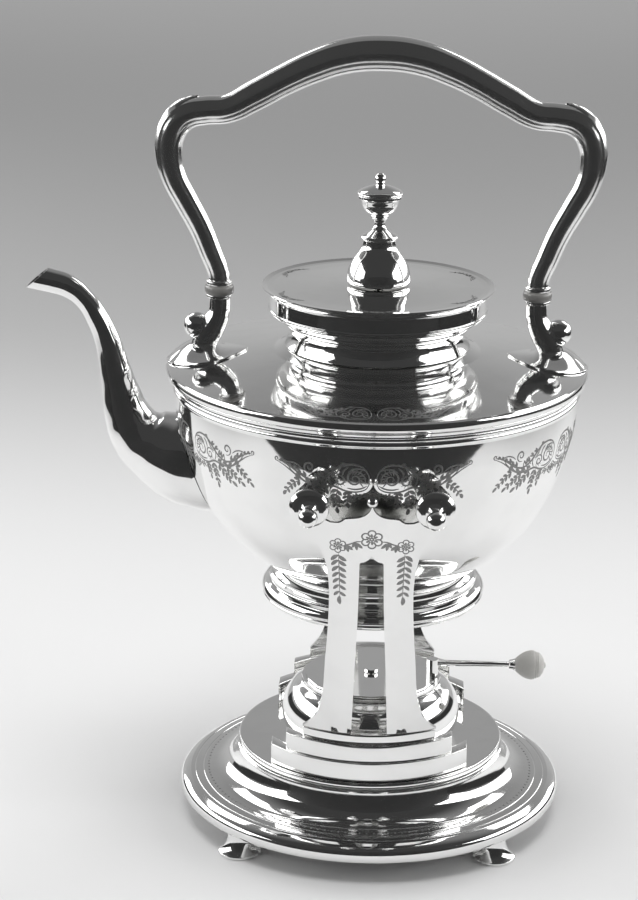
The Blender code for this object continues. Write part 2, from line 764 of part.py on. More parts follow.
def make_handle(skin):
    """Sockets on domed pads, insulating rings with spigots, the scrolled grip, and the cross pins."""
    right_side = [(handle_spot(a, b, 1, False), c) for a, b, c in handle_side_shares]
    right_bow = [(handle_spot(a, b, 1, True), c) for a, b, c in handle_bow_shares]
    right = right_side + right_bow
    left = [(Vector((-spot.x, 0.0, spot.z)), c) for spot, c in right[:-1]]
    line = left + right[::-1]
    path = smooth_path([Vector((spot.x, spot.z, c * handle_radius)) for spot, c in line], 1)
    spots = [Vector((x, 0.0, z)) for x, z, radius in path]
    grip = piece(tube("grip", spots, [radius for x, z, radius in path], 2), kettle, silver)

    socket_top_z = insulator_z - gap
    shared_bores = []
    pin_spots = []
    for side_name, side in (("left", -1), ("right", 1)):
        foot_x = side * handle_foot_x
        socket_points = []
        for a, b, c in socket_shares:
            x = side * (socket_x + a * socket_lean)
            z = socket_z + b * (socket_top_z - socket_z)
            socket_points.append((Vector((x, 0.0, z)), c * socket_radius))
        socket = tube(f"socket_{side_name}", [spot for spot, c in socket_points],
                      [c for spot, c in socket_points], 3)
        piece(socket, kettle, silver)
        lobe_z = socket_z + lobe_height_share * (socket_top_z - socket_z)
        lobe = ball("socket_lobe", (lobe_radius, lobe_radius, lobe_radius))
        combine(socket, tool(lobe, kettle, (side * (socket_x + lobe_reach), 0.0, lobe_z)), "UNION")
        combine(socket, skin, "DIFFERENCE")

        pad_size = (pad_length_share * shoulder_radius / 2, pad_width_share * shoulder_radius / 2, pad_rise)
        pad = ball(f"pad_{side_name}", pad_size, middle_sides)
        slope = math.atan2(shoulder_outline[3][1] - shoulder_outline[4][1],
                           shoulder_outline[4][0] - shoulder_outline[3][0])
        foot_spot = (side * socket_x, 0.0, shoulder_at_socket_z)
        piece(pad, kettle, silver, foot_spot, (0.0, side * slope, 0.0))
        combine(pad, skin, "DIFFERENCE")
        foot_hole = cylinder("pad_hole", socket_radius * socket_shares[-1][2] + gap, 4 * pad_rise)
        foot_hole = tool(foot_hole, kettle, foot_spot, (0.0, 0.0, math.pi / small_sides))
        combine(pad, foot_hole, "DIFFERENCE")

        insulator = cylinder(f"insulator_{side_name}", insulator_radius, insulator_height, sides=small_sides)
        middle_z = insulator_z + insulator_height / 2
        piece(insulator, kettle, ivory, (foot_x, 0.0, middle_z))
        reach = insulator_height + 2 * spigot_length
        spigot = cylinder("spigot", spigot_radius, reach)
        combine(insulator, tool(spigot, kettle, (foot_x, 0.0, middle_z)), "UNION")
        bore = cylinder("spigot_bore", spigot_radius + gap, reach + 2 * gap)
        bore = tool(bore, kettle, (foot_x, 0.0, middle_z))
        combine(grip, bore, "DIFFERENCE")
        combine(socket, bore, "DIFFERENCE")

        for up, carriers in ((1, (grip, insulator)), (-1, (socket, insulator))):
            z = middle_z + up * (insulator_height + spigot_length) / 2
            hole = cylinder("cross_pin_hole", cross_pin_radius + gap, 4 * insulator_radius, "Y", tiny_sides)
            hole = tool(hole, kettle, (foot_x, 0.0, z))
            for carrier in carriers:
                combine(carrier, hole, "DIFFERENCE")
            pin_spots.append((foot_x, 0.0, z))

    for side_name, side in (("left", -1), ("right", 1)):
        spur_line = [(handle_spot(a, b, side, True), c * handle_radius) for a, b, c in spur_shares]
        spur = tube("spur", [spot for spot, c in spur_line], [c for spot, c in spur_line], 2)
        combine(grip, tool(spur, kettle), "UNION")

    pin_length = 2 * handle_radius * handle_side_shares[0][2]
    pin_names = ("low_left", "high_left", "low_right", "high_right")
    for pin_name, spot in zip(pin_names, sorted(pin_spots)):
        cross_pin = cylinder(f"cross_pin_{pin_name}", cross_pin_radius, pin_length, "Y", tiny_sides)
        piece(cross_pin, kettle, silver, spot)


def make_lid():
    hole = stud_radius + gap
    centre_top = (hole, lid_z + lid_height * lid_centre_top_share)
    centre_under = (hole, lid_z + lid_height * lid_centre_under_share)
    inner = scaled(lid_inner_shares, lid_radius, lid_height, up_from=lid_z)
    cap = turned("lid", [centre_top] + lid_outline + inner + [centre_under], wide_sides, closed=True)
    piece(cap, lid, silver)

    outer_radius = mouth_bore_radius - bezel_clearance
    inner_radius = outer_radius - bezel_sheet
    under = inner[-1]
    rise = (centre_under[1] - under[1]) * (under[0] - outer_radius) / (under[0] - centre_under[0])
    high = under[1] + max(rise, 0.0) - gap
    low = mouth_z - bezel_drop
    bezel_outline = [(outer_radius, high), (outer_radius, low), (inner_radius, low), (inner_radius, high)]
    piece(turned("lid_bezel", bezel_outline, wide_sides, closed=True), lid, silver)

    base = centre_top[1] + gap
    outline = scaled(finial_shares, finial_radius, finial_height, up_from=base)
    stud_low = base - stud_length
    outline += [(stud_radius, base), (stud_radius, stud_low), (0.0, stud_low)]
    piece(turned("finial", outline, small_sides), lid, silver)

    nut_top = centre_under[1] - gap
    nut_outline = [(nut_radius, nut_top), (nut_radius, nut_top - nut_height), (hole, nut_top - nut_height),
                   (hole, nut_top)]
    piece(turned("finial_nut", nut_outline, nut_sides, closed=True), lid, silver)


def make_hinge():
    axis = (0.0, hinge_y, hinge_z)
    full_length = lid_knuckle_length + 2 * (side_knuckle_length + gap)

    leaf = piece(cylinder("lid_leaf", hinge_radius, lid_knuckle_length, "X"), lid, silver, axis)
    tongue_low = lid_z
    tongue_back = hinge_y + hinge_radius / 2
    tongue_front = lid_band_radius - overrun
    tongue = box("leaf_tongue", (lid_knuckle_length, tongue_back - tongue_front, leaf_height))
    tongue_spot = (0.0, (tongue_back + tongue_front) / 2, tongue_low + leaf_height / 2)
    combine(leaf, tool(tongue, lid, tongue_spot), "UNION")
    lid_solid = [(0.0, lid_outline[0][1])] + lid_outline + [(0.0, lid_outline[-1][1])]
    combine(leaf, tool(turned("lid_skin", grown(lid_solid, gap), wide_sides), lid), "DIFFERENCE")
    leaf_bore = cylinder("leaf_bore", hinge_pin_radius + gap, full_length, "X")
    combine(leaf, tool(leaf_bore, lid, axis), "DIFFERENCE")

    strap_top = hinge_z - hinge_radius - strap_clearance
    strap_low = strap_top - strap_height
    back = hinge_y + hinge_radius
    front = neck_radius - overrun
    strap = box("hinge_bracket", (full_length, back - front, strap_height))
    piece(strap, kettle, silver, (0.0, (back + front) / 2, strap_top - strap_height / 2))
    for side in (-1, 1):
        x = side * (lid_knuckle_length / 2 + gap + side_knuckle_length / 2)
        knuckle = cylinder("side_knuckle", hinge_radius, side_knuckle_length, "X")
        combine(strap, tool(knuckle, kettle, (x, hinge_y, hinge_z)), "UNION")
        cheek = box("side_cheek", (side_knuckle_length, 2 * hinge_radius, hinge_z - strap_low))
        combine(strap, tool(cheek, kettle, (x, hinge_y, (hinge_z + strap_low) / 2)), "UNION")
    neck_solid = [(0.0, neck_outline[0][1])] + neck_outline + [(0.0, neck_outline[-1][1])]
    combine(strap, tool(turned("neck_skin", grown(neck_solid, gap), wide_sides), kettle), "DIFFERENCE")
    bracket_bore = cylinder("bracket_bore", hinge_pin_radius + gap, full_length + overrun, "X")
    combine(strap, tool(bracket_bore, kettle, axis), "DIFFERENCE")

    half = full_length / 2 + gap
    head = half + hinge_head_length
    outline = [
        (0.0, head), (hinge_head_radius, head), (hinge_head_radius, half), (hinge_pin_radius, half),
        (hinge_pin_radius, -half), (hinge_head_radius, -half), (hinge_head_radius, -head), (0.0, -head),
    ]
    piece(turned("hinge_pin", outline, tiny_sides + 2), kettle, silver, axis, (0.0, math.pi / 2, 0.0))


def make_burner():
    outline = [(font_radius * font_mouth_share, font_z + font_height)]
    outline += scaled(font_shares + font_base_shares, font_radius, font_height, up_from=font_z)
    piece(turned("font", outline, middle_sides, sheet=font_sheet), burner, silver)

    top = cover_z + cover_thickness
    cover = cylinder("cover_plate", cover_radius, cover_thickness, sides=middle_sides)
    piece(cover, burner, silver, (0.0, 0.0, cover_z + cover_thickness / 2))
    screw_hole = tool(cylinder("cover_hole", screw_radius + gap, 2 * overrun), burner, (0.0, 0.0, cover_z))
    combine(cover, screw_hole, "DIFFERENCE")

    tube_middle = top - wick_tube_length / 2
    wick_middle = top - gap - wick_length / 2
    tubes = []
    for step in range(wick_count):
        turn = 2 * math.pi / wick_count * step
        x = wick_circle_radius * math.cos(turn)
        y = wick_circle_radius * math.sin(turn)
        wick_tube = cylinder("wick_tube", wick_radius + gap + wick_tube_sheet, wick_tube_length)
        combine(cover, tool(wick_tube, burner, (x, y, tube_middle)), "UNION")
        tubes.append((x, y, tube_middle))
        piece(cylinder(f"wick_{step + 1}", wick_radius, wick_length), burner, cotton, (x, y, wick_middle))
    for spot in tubes:
        bore = cylinder("wick_bore", wick_radius + gap, wick_tube_length + overrun)
        combine(cover, tool(bore, burner, spot), "DIFFERENCE")

    head_z = turning_plate_z + turning_plate_thickness + gap
    outline = [
        (0.0, head_z + screw_head_height), (screw_head_radius, head_z + screw_head_height),
        (screw_head_radius, head_z), (screw_radius, head_z), (screw_radius, head_z - screw_length),
        (0.0, head_z - screw_length),
    ]
    piece(turned("cover_screw", outline, small_sides), burner, silver)


def make_regulator():
    """The turning plate over the wicks, with the lever that swings it about the burner's axis."""
    middle_z = turning_plate_z + turning_plate_thickness / 2
    plate = cylinder("turning_plate", turning_plate_radius, turning_plate_thickness, sides=middle_sides)
    piece(plate, regulator, silver, (0.0, 0.0, middle_z))
    hole_radius = wick_radius + gap + wick_tube_sheet
    for step in range(wick_count):
        turn = math.pi / wick_count * (2 * step + 1)
        spot = (wick_circle_radius * math.cos(turn), wick_circle_radius * math.sin(turn), middle_z)
        combine(plate, tool(cylinder("flame_hole", hole_radius, 2 * overrun), regulator, spot), "DIFFERENCE")
    screw_hole = cylinder("plate_hole", screw_radius + gap, 2 * overrun)
    combine(plate, tool(screw_hole, regulator, (0.0, 0.0, middle_z)), "DIFFERENCE")

    knuckle_x = turning_plate_radius - knuckle_radius + knuckle_inset
    knuckle = cylinder("lever_knuckle", knuckle_radius, knuckle_height)
    knuckle_spot = (knuckle_x, 0.0, middle_z + knuckle_height / 2)
    combine(plate, tool(knuckle, regulator, knuckle_spot), "UNION")

    rod_start = knuckle_x + knuckle_radius - lever_seat_depth
    rod_end = lever_reach + knob_bore_depth - gap
    seat = cylinder("lever_seat", lever_radius + gap, 2 * lever_seat_depth, "X", tiny_sides)
    combine(plate, tool(seat, regulator, (rod_start - gap + lever_seat_depth, 0.0, lever_z)), "DIFFERENCE")
    rod = cylinder("lever_rod", lever_radius, rod_end - rod_start, "X", tiny_sides)
    piece(rod, regulator, silver, ((rod_start + rod_end) / 2, 0.0, lever_z))

    bore = lever_radius + gap
    ferrule_outline = [(ferrule_radius, ferrule_length), (ferrule_radius, 0.0), (bore, 0.0),
                       (bore, ferrule_length)]
    ferrule = turned("lever_ferrule", ferrule_outline, small_sides, closed=True)
    quarter = (0.0, math.pi / 2, 0.0)
    piece(ferrule, regulator, silver, (lever_reach - gap - ferrule_length, 0.0, lever_z), quarter)

    outline = scaled(knob_shares, knob_radius, knob_length)
    outline += [(bore, 0.0), (bore, knob_bore_depth), (0.0, knob_bore_depth)]
    piece(turned("lever_knob", outline, small_sides), regulator, ivory, (lever_reach, 0.0, lever_z), quarter)


for old in list(bpy.data.objects):
    bpy.data.objects.remove(old)
bpy.context.scene.collection.children.link(parts)
bpy.context.scene.collection.children.link(cutters)

handle_reach = max(handle_foot_x + a * (handle_half_span - handle_foot_x) + c * handle_radius
                   for a, b, c in handle_side_shares)
kettle_axis = body("kettle_axis", (0.0, 0.0, 0.0))
kettle_axis.location = ((spout_reach - handle_reach) / 2, 0.0, 0.0)
stand = body("stand", (0.0, 0.0, 0.0))
kettle = body("kettle_tilt", (-pin_half_span, 0.0, pin_z))
lid = body("lid_hinge", (0.0, hinge_y, hinge_z))
burner = body("burner_lift", (0.0, 0.0, plateau_top_z))
regulator = body("regulator_turn", (0.0, 0.0, turning_plate_z))

make_base()
for depth_name, front in (("front", -1), ("back", 1)):
    make_plinth(depth_name, 0.0 if front < 0 else math.pi)
    make_upright(depth_name, front)
    for side_name, side in (("left", -1), ("right", 1)):
        x = side * pin_half_span
        carrier = body(f"pin_slide_{depth_name}_{side_name}", (x, 0.0, pin_z))
        make_pin(f"pin_{depth_name}_{side_name}", carrier, front, x)
make_bowl()
make_shoulder_and_neck()
make_kettle_foot()
skin = kettle_skin("kettle_skin")
make_spout(skin)
for depth_name, front in (("front", -1), ("back", 1)):
    for side_name, side in (("left", -1), ("right", 1)):
        make_lug(f"lug_{depth_name}_{side_name}", skin, front, side)
make_handle(skin)
make_lid()
make_hinge()
make_burner()
make_regulator()
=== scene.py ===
# %% [markdown]
# # A spirit kettle on its stand
#
# The object is polished silver: a kettle hung on four pins between two curved uprights, over a spirit
# burner on a round footed base. Silver has hardly a colour of its own. What the eye sees is the room
# in it, so two things carry this picture: smooth, true shapes, and a believable studio around them.
#
# The imported CAD model is the frame. Each new piece stands where a CAD piece stands, which is hidden, and
# hangs from an empty for its body.

# %% The frame and its box
import math

import bmesh
import bpy
from mathutils import Matrix, Vector


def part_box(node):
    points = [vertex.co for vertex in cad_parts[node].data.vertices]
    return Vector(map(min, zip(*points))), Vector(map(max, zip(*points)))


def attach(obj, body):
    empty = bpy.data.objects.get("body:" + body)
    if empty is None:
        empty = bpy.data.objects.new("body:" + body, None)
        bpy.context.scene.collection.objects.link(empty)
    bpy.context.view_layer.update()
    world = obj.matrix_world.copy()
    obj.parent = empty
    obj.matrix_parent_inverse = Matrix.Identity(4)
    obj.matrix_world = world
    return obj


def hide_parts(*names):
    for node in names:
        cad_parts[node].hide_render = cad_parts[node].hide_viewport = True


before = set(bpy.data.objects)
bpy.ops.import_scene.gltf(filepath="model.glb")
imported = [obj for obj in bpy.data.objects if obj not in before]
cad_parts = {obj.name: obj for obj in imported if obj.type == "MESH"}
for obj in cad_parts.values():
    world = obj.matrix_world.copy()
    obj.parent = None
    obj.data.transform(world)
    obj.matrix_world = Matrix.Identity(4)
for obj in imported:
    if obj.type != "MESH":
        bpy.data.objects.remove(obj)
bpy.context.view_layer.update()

MM = 0.001
WELD = 0.000002
bowl_low, bowl_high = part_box("bowl")
AXIS_X = (bowl_low[0] + bowl_high[0]) / 2

# %% [markdown]
# ## The camera
#
# The ellipses of the lid, the shoulder and the base give the camera's height and distance: it looks
# down by about seventeen degrees with a fairly long lens. The kettle stands a little right of the
# middle, which is a small shift of the lens, and the picture leans by about one degree.

# %% The camera
CAMERA_SPOT = (AXIS_X + 0.0083, -1.0551, 0.4955)
LOOK_DOWN = math.radians(17.52)
LOOK_LEFT = math.radians(0.39)
LEAN = math.radians(1.12)
FOCAL_LENGTH = 104.4
FRAME_HEIGHT = 900
AXIS_OFF_MIDDLE = 59.0

bpy.ops.object.select_all(action="DESELECT")
bpy.ops.object.camera_add(location=CAMERA_SPOT)
camera = bpy.context.object
camera.matrix_world = (Matrix.Translation(CAMERA_SPOT) @ Matrix.Rotation(LOOK_LEFT, 4, "Z")
                       @ Matrix.Rotation(math.pi / 2 - LOOK_DOWN, 4, "X") @ Matrix.Rotation(LEAN, 4, "Z"))
camera.data.lens = FOCAL_LENGTH
camera.data.sensor_width = 36
camera.data.sensor_fit = "AUTO"
camera.data.shift_x = -AXIS_OFF_MIDDLE / FRAME_HEIGHT
camera.data.clip_end = 20
bpy.context.scene.camera = camera

# %% [markdown]
# ## Sums inside a material
#
# A finish that varies over a surface is arithmetic on the surface's coordinates. Signal wraps one
# socket, so that a sum written in Python lays its Math nodes. Finish adds every other kind of node.

# %% Signal and Finish
class Signal:
    """One output socket that can be added, multiplied and so on."""

    def __init__(self, finish, socket):
        self.finish = finish
        self.socket = socket

    def math(self, operation, *values):
        return self.finish.node("ShaderNodeMath", {"operation": operation}, *values)

    def __add__(self, other):
        return self.math("ADD", self, other)

    __radd__ = __add__

    def __sub__(self, other):
        return self.math("SUBTRACT", self, other)

    def __rsub__(self, other):
        return self.math("SUBTRACT", other, self)

    def __mul__(self, other):
        return self.math("MULTIPLY", self, other)

    __rmul__ = __mul__

    def clipped(self):
        return self.finish.node("ShaderNodeClamp", {}, self)


class Finish:
    """A material under construction."""

    def __init__(self, name, data=None):
        self.data = data or bpy.data.materials.new(name)
        self.data.use_nodes = True
        self.tree = self.data.node_tree

    def node(self, kind, settings, *values, output=0, **named):
        made = self.tree.nodes.new(kind)
        for key, value in settings.items():
            setattr(made, key, value)
        for index, value in enumerate(values):
            self.put(made.inputs[index], value)
        for key, value in named.items():
            self.put(made.inputs[key], value)
        return Signal(self, made.outputs[output])

    def put(self, socket, value):
        if isinstance(value, Signal):
            self.tree.links.new(value.socket, socket)
        else:
            socket.default_value = value

    def place(self, output="Object"):
        return self.node("ShaderNodeTexCoord", {}, output=output)

    def apart(self, vector):
        """The X, Y and Z of a vector, each as a Signal."""
        split = self.node("ShaderNodeSeparateXYZ", {}, vector)
        outputs = split.socket.node.outputs
        return [Signal(self, outputs[index]) for index in range(3)]

    def between(self, low, high, value):
        """0 where the value is low, 1 where it is high, and smooth between them."""
        return self.node("ShaderNodeMapRange", {"interpolation_type": "SMOOTHSTEP"}, value, low, high)

    def noise(self, vector, scale, detail=2.0):
        return self.node("ShaderNodeTexNoise", {}, Vector=vector, Scale=scale, Detail=detail)

    def mixed(self, factor, low, high):
        """A colour that goes from one to another with the factor."""
        made = self.tree.nodes.new("ShaderNodeMix")
        made.data_type = "RGBA"
        self.put(made.inputs[0], factor)
        self.put(made.inputs[6], low)
        self.put(made.inputs[7], high)
        return Signal(self, made.outputs[2])

    def bump(self, height):
        """The normal of a surface that rises by a height in metres."""
        return self.node("ShaderNodeBump", {}, Height=height, Distance=1.0, Strength=1.0)

    def surface(self, **values):
        """Sets the sockets of the main shader, by name with _ for a space."""
        shader = self.tree.nodes["Principled BSDF"]
        for key, value in values.items():
            self.put(shader.inputs[key.replace("_", " ")], value)


# %% [markdown]
# ## Silver
#
# Polished silver is a metal of about 93 per cent white. Three small things keep it from looking like
# a computer's mirror: very faint waves from the hammer and the buffing wheel, which bend the edges of
# the reflections, a haze of hairline scratches that varies from place to place, and a slightly darker
# tone where the cloth doesn't reach. All three read Object coordinates, so they stay on the piece.

# %% Silver
SILVER = (0.93, 0.93, 0.925, 1.0)
WORN_SILVER = (0.86, 0.86, 0.855, 1.0)


def polished_silver(name, haze=0.045, waves=0.000010, wave_size=55.0, scratches=0.0000007):
    """Silver with its haze, its waves and its hairlines. Sizes of waves and hairlines are metres."""
    finish = Finish(name)
    spot = finish.place()
    wide = finish.noise(spot, wave_size, 1.0)
    cloth = finish.noise(spot, 240.0, 4.0)
    x, y, z = finish.apart(spot)
    off_axis = x - AXIS_X
    from_axis = finish.node("ShaderNodeMath", {"operation": "POWER"}, off_axis * off_axis + y * y, 0.5)
    ring =finish.node("ShaderNodeCombineXYZ", {}, from_axis * 5.0, from_axis * 3.0, z * 5.0)
    hair = finish.noise(ring, 900.0, 2.0)
    smear = finish.between(0.42, 0.66, finish.noise(spot, 75.0, 3.0))
    finish.surface(Metallic=1.0, Roughness=haze + cloth * 0.03 + smear * 0.022,
                   Base_Color=finish.mixed(smear * 0.35, SILVER, WORN_SILVER))
    finish.surface(Normal=finish.bump(wide * waves + hair * scratches))
    return finish.data


silver_body = polished_silver("silver_body")
silver_stand = polished_silver("silver_stand", haze=0.045, wave_size=70.0)
silver_cast = polished_silver("silver_cast", haze=0.055, waves=0.000012, wave_size=160.0)
silver_grip = polished_silver("silver_grip", haze=0.15, waves=0.000012, wave_size=130.0)
silver_plain = polished_silver("silver_plain", haze=0.05, waves=0.000005)


# %% [markdown]
# ## Engraving, ivory and cotton
#
# A graver leaves bright V-shaped cuts that scatter light, so an engraved line looks darker than silver
# that mirrors a white card, and lighter than silver that mirrors a dark room. A rough metal does both.
# The cuts are also painted dark grey: painted shade for the shadow inside them, because they are modelled as
# ridges.
# Ivory is pale, with a fine grain along the tusk and a satin gloss. The wicks are woven cotton.

# %% Engraving, ivory and cotton
def engraving_with_painted_shade(name):
    finish = Finish(name)
    grain = finish.noise(finish.place(), 2600.0, 2.0)
    # Painted shade: the dark grey base colour stands for the shadow inside the cuts, and the grain varies it
    # at random.
    finish.surface(Metallic=1.0, Roughness=0.46 + grain * 0.14,
                   Base_Color=finish.mixed(grain, (0.16, 0.16, 0.158, 1.0), (0.52, 0.52, 0.515, 1.0)))
    return finish.data


def turned_ivory(name, pale=0.66, gloss=0.25):
    finish = Finish(name)
    warm = (pale, pale * 0.985, pale * 0.94, 1.0)
    light = (pale * 1.2, pale * 1.185, pale * 1.14, 1.0)
    spot = finish.place()
    x, y, z = finish.apart(spot)
    lengthwise = finish.node("ShaderNodeCombineXYZ", {}, x * 0.35, y, z)
    grain = finish.noise(lengthwise, 1400.0, 3.0)
    cloud = finish.noise(spot, 160.0, 2.0)
    tone = finish.mixed((grain * 0.5 + cloud * 0.5).clipped(), warm, light)
    finish.surface(Base_Color=tone, Roughness=0.34 + grain * 0.14, Normal=finish.bump(grain * 0.000012),
                   Coat_Weight=gloss, Coat_Roughness=0.12)
    return finish.data


def cotton_cord(name):
    finish = Finish(name)
    spot = finish.place()
    strand = finish.node("ShaderNodeTexWave", {"bands_direction": "DIAGONAL"}, Vector=spot, Scale=420.0,
                         Distortion=1.5, output=1)
    fluff = finish.noise(spot, 1800.0, 3.0)
    tone = finish.mixed(strand * 0.6 + fluff * 0.4, (0.55, 0.54, 0.51, 1.0), (0.84, 0.83, 0.80, 1.0))
    finish.surface(Base_Color=tone, Roughness=0.85 + fluff * 0.1,
                   Normal=finish.bump(strand * 0.0002 + fluff * 0.00008))
    return finish.data


engraved = engraving_with_painted_shade("engraving_with_painted_shade")
ivory = turned_ivory("turned_ivory", 0.58)
aged_ivory = turned_ivory("aged_ivory", 0.22, gloss=1.0)
cotton = cotton_cord("cotton_cord")


# %% [markdown]
# ## Outlines
#
# Nearly every piece here was turned on a lathe or spun over a form, so an outline says most of it.
# An outline is written in millimetres as smooth runs of points. Where two runs meet is an edge, which
# gets a tiny round, because a real edge always catches a line of light.

# %% Outlines
def flowing(points, step=1.0):
    """Points along a smooth curve through the given ones."""
    points = [Vector(point) for point in points]
    if len(points) < 3:
        return points
    ends = [points[0] * 2 - points[1]] + points + [points[-1] * 2 - points[-2]]
    path = []
    for a, b, c, d in zip(ends, ends[1:], ends[2:], ends[3:]):
        reach = (c - b).length
        count = max(1, min(14, round(reach / step)))
        slope_b = (c - a) * (reach / ((b - a).length + reach))
        slope_c = (d - b) * (reach / ((d - c).length + reach))
        for index in range(count):
            t = index / count
            path.append(b * (2 * t**3 - 3 * t**2 + 1) + slope_b * (t**3 - 2 * t**2 + t)
                        + c * (3 * t**2 - 2 * t**3) + slope_c * (t**3 - t**2))
    return path + [points[-1]]


def outline(*runs, soft=0.12, step=1.0):
    """One list of points from smooth runs, with a small round wherever two runs meet."""
    points, corner = [], []
    for run in runs:
        curve = flowing(run, step)
        if points and (points[-1] - curve[0]).length < 0.001:
            curve = curve[1:]
        else:
            points and corner.append(len(points))
        corner.append(len(points) - 1)
        points += curve
    corners = {index for index in corner if 0 < index < len(points) - 1}
    shaped = []
    for index, point in enumerate(points):
        if index not in corners:
            shaped.append(point)
            continue
        before, after = points[index - 1] - point, points[index + 1] - point
        a = point + before.normalized() * min(soft, before.length * 0.4)
        b = point + after.normalized() * min(soft, after.length * 0.4)
        if before.length > soft * 7:
            shaped.append(point + before.normalized() * soft * 3)
        shaped += [a, (a + b) / 4 + point / 2, b]
        if after.length > soft * 7:
            shaped.append(point + after.normalized() * soft * 3)
    return [tuple(point) for point in shaped]


def deselect():
    if bpy.context.mode != "OBJECT":
        bpy.ops.object.mode_set(mode="OBJECT")
    bpy.ops.object.select_all(action="DESELECT")


def only(thing):
    deselect()
    thing.select_set(True)
    bpy.context.view_layer.objects.active = thing


def drawn(name, spots):
    """A chain of edges, extruded point after point from a single vertex."""
    deselect()
    bpy.ops.mesh.primitive_plane_add(size=MM, location=spots[0])
    thing = bpy.context.object
    thing.name = name
    bpy.ops.object.transform_apply(location=True, rotation=True, scale=True)
    bpy.ops.object.mode_set(mode="EDIT")
    bpy.ops.mesh.select_all(action="SELECT")
    bpy.ops.mesh.merge(type="CENTER")
    for here, there in zip(spots, spots[1:]):
        bpy.ops.mesh.extrude_region_move(TRANSFORM_OT_translate={"value": there - here})
    return thing


def spun(name, points, steps=160, origin=(AXIS_X, 0.0, 0.0), along=(0.0, 0.0, 1.0), closed=False):
    """A lathe piece: the outline is drawn beside an axis and spun round it. Outlines are millimetres."""
    origin, along = Vector(origin), Vector(along)
    side = Vector((1.0, 0.0, 0.0)) if abs(along.x) < 0.5 else Vector((0.0, 1.0, 0.0))
    if closed:
        points = points + points[:1]
    spots = [origin + side * (r * MM) + along * (h * MM) for r, h in points]
    thing = drawn(name, spots)
    bpy.ops.mesh.select_all(action="SELECT")
    bpy.ops.mesh.spin(steps=steps, angle=math.tau, center=origin, axis=along)
    bpy.ops.mesh.select_all(action="SELECT")
    bpy.ops.mesh.remove_doubles(threshold=WELD)
    bpy.ops.mesh.normals_make_consistent(inside=False)
    bpy.ops.object.mode_set(mode="OBJECT")
    return thing


def worked(thing, kind, **settings):
    """Adds a modifier and applies it."""
    only(thing)
    modifier = thing.modifiers.new(kind.lower(), kind)
    for key, value in settings.items():
        setattr(modifier, key, value)
    bpy.ops.object.modifier_apply(modifier=modifier.name)
    return thing


def joined(thing, other, operation="UNION", keep=False):
    """Joins, cuts or intersects two closed pieces."""
    worked(thing, "BOOLEAN", operation=operation, object=other, solver="EXACT")
    if not keep:
        bpy.data.objects.remove(other)
    return thing


def dressed(thing, material, slot, body, *nodes, smooth=34):
    """The last steps for every piece: finish, smooth shading, its body and the CAD nodes it stands for."""
    only(thing)
    thing.data.materials.clear()
    thing.data.materials.append(material)
    bpy.ops.object.shade_smooth_by_angle(angle=math.radians(smooth))
    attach(thing, body)
    if nodes:
        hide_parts(*nodes)
    print(thing.name, len(thing.data.polygons), "faces")
    return thing


def copied(thing, name):
    """A copy with a mesh of its own."""
    twin = thing.copy()
    twin.data = thing.data.copy()
    twin.name = name
    bpy.context.scene.collection.objects.link(twin)
    return twin


def about(thing, matrix):
    """Turns or moves the mesh itself, so that the object stays at the origin."""
    thing.data.transform(matrix)
    if matrix.determinant() < 0:
        thing.data.flip_normals()
    return thing


TO_AXIS = Matrix.Translation((AXIS_X, 0.0, 0.0))
FROM_AXIS = TO_AXIS.inverted()
SIDES = (("left", -1.0), ("right", 1.0))
CORNERS = [(f"{depth_name}_{side_name}", depth, side)
           for depth_name, depth in (("front", -1.0), ("back", 1.0)) for side_name, side in SIDES]


def round_the_axis(degrees):
    return TO_AXIS @ Matrix.Rotation(math.radians(degrees), 4, "Z") @ FROM_AXIS


def to_side(side):
    """Leaves a piece on the right, or mirrors it to the left."""
    return TO_AXIS @ Matrix.Diagonal((side, 1.0, 1.0, 1.0)) @ FROM_AXIS


# %% [markdown]
# ## The stand
#
# The base was spun from sheet: a rim rolled under, a flat band with two fine engraved lines, and a cove
# that rises to a small ring. On it lies the plateau, a flat disc with a rolled edge.

# %% Base and plateau
base_outline = outline(
    [(49.0, 30.6), (56.8, 30.5)],
    [(57.3, 30.4), (57.9, 29.9), (57.9, 29.2), (57.4, 28.7)],
    [(57.5, 28.5), (57.9, 27.0), (58.7, 25.0), (60.3, 22.3), (63.2, 19.8), (66.5, 18.35), (70.6, 17.75)],
    [(72.6, 17.62), (72.8, 17.45), (73.0, 17.6)],
    [(76.2, 17.25), (76.4, 17.08), (76.6, 17.22)],
    [(78.3, 17.0), (80.6, 15.95), (82.2, 14.7), (82.8, 13.5), (82.75, 12.2), (82.4, 10.6), (81.9, 9.8),
     (80.9, 9.5), (79.6, 9.45)],
    [(70.3, 9.45), (70.3, 10.5), (79.4, 10.6)],
    [(81.0, 11.2), (81.6, 12.6), (81.4, 13.8), (80.0, 15.0), (78.0, 15.8), (70.6, 16.5), (66.2, 17.1),
     (62.4, 18.8), (59.2, 21.6), (57.6, 24.4), (56.6, 27.4), (56.2, 29.4)],
    [(49.0, 29.4)],
)
dressed(spun("base_spun", base_outline, 200, closed=True), silver_stand, "silver", "stand", "base_dish")

plateau_outline = outline(
    [(0.0, 33.7), (40.0, 33.68), (56.3, 33.7)],
    [(56.9, 33.55), (57.2, 33.0), (57.2, 32.0), (56.9, 31.3), (56.2, 31.0)],
    [(54.6, 31.0), (54.4, 32.4), (0.0, 32.4)],
)
dressed(spun("plateau_disc", plateau_outline, 200), silver_stand, "silver", "stand", "plateau")

# %% [markdown]
# Four trumpet feet are turned once and copied. They stand on the diagonals.

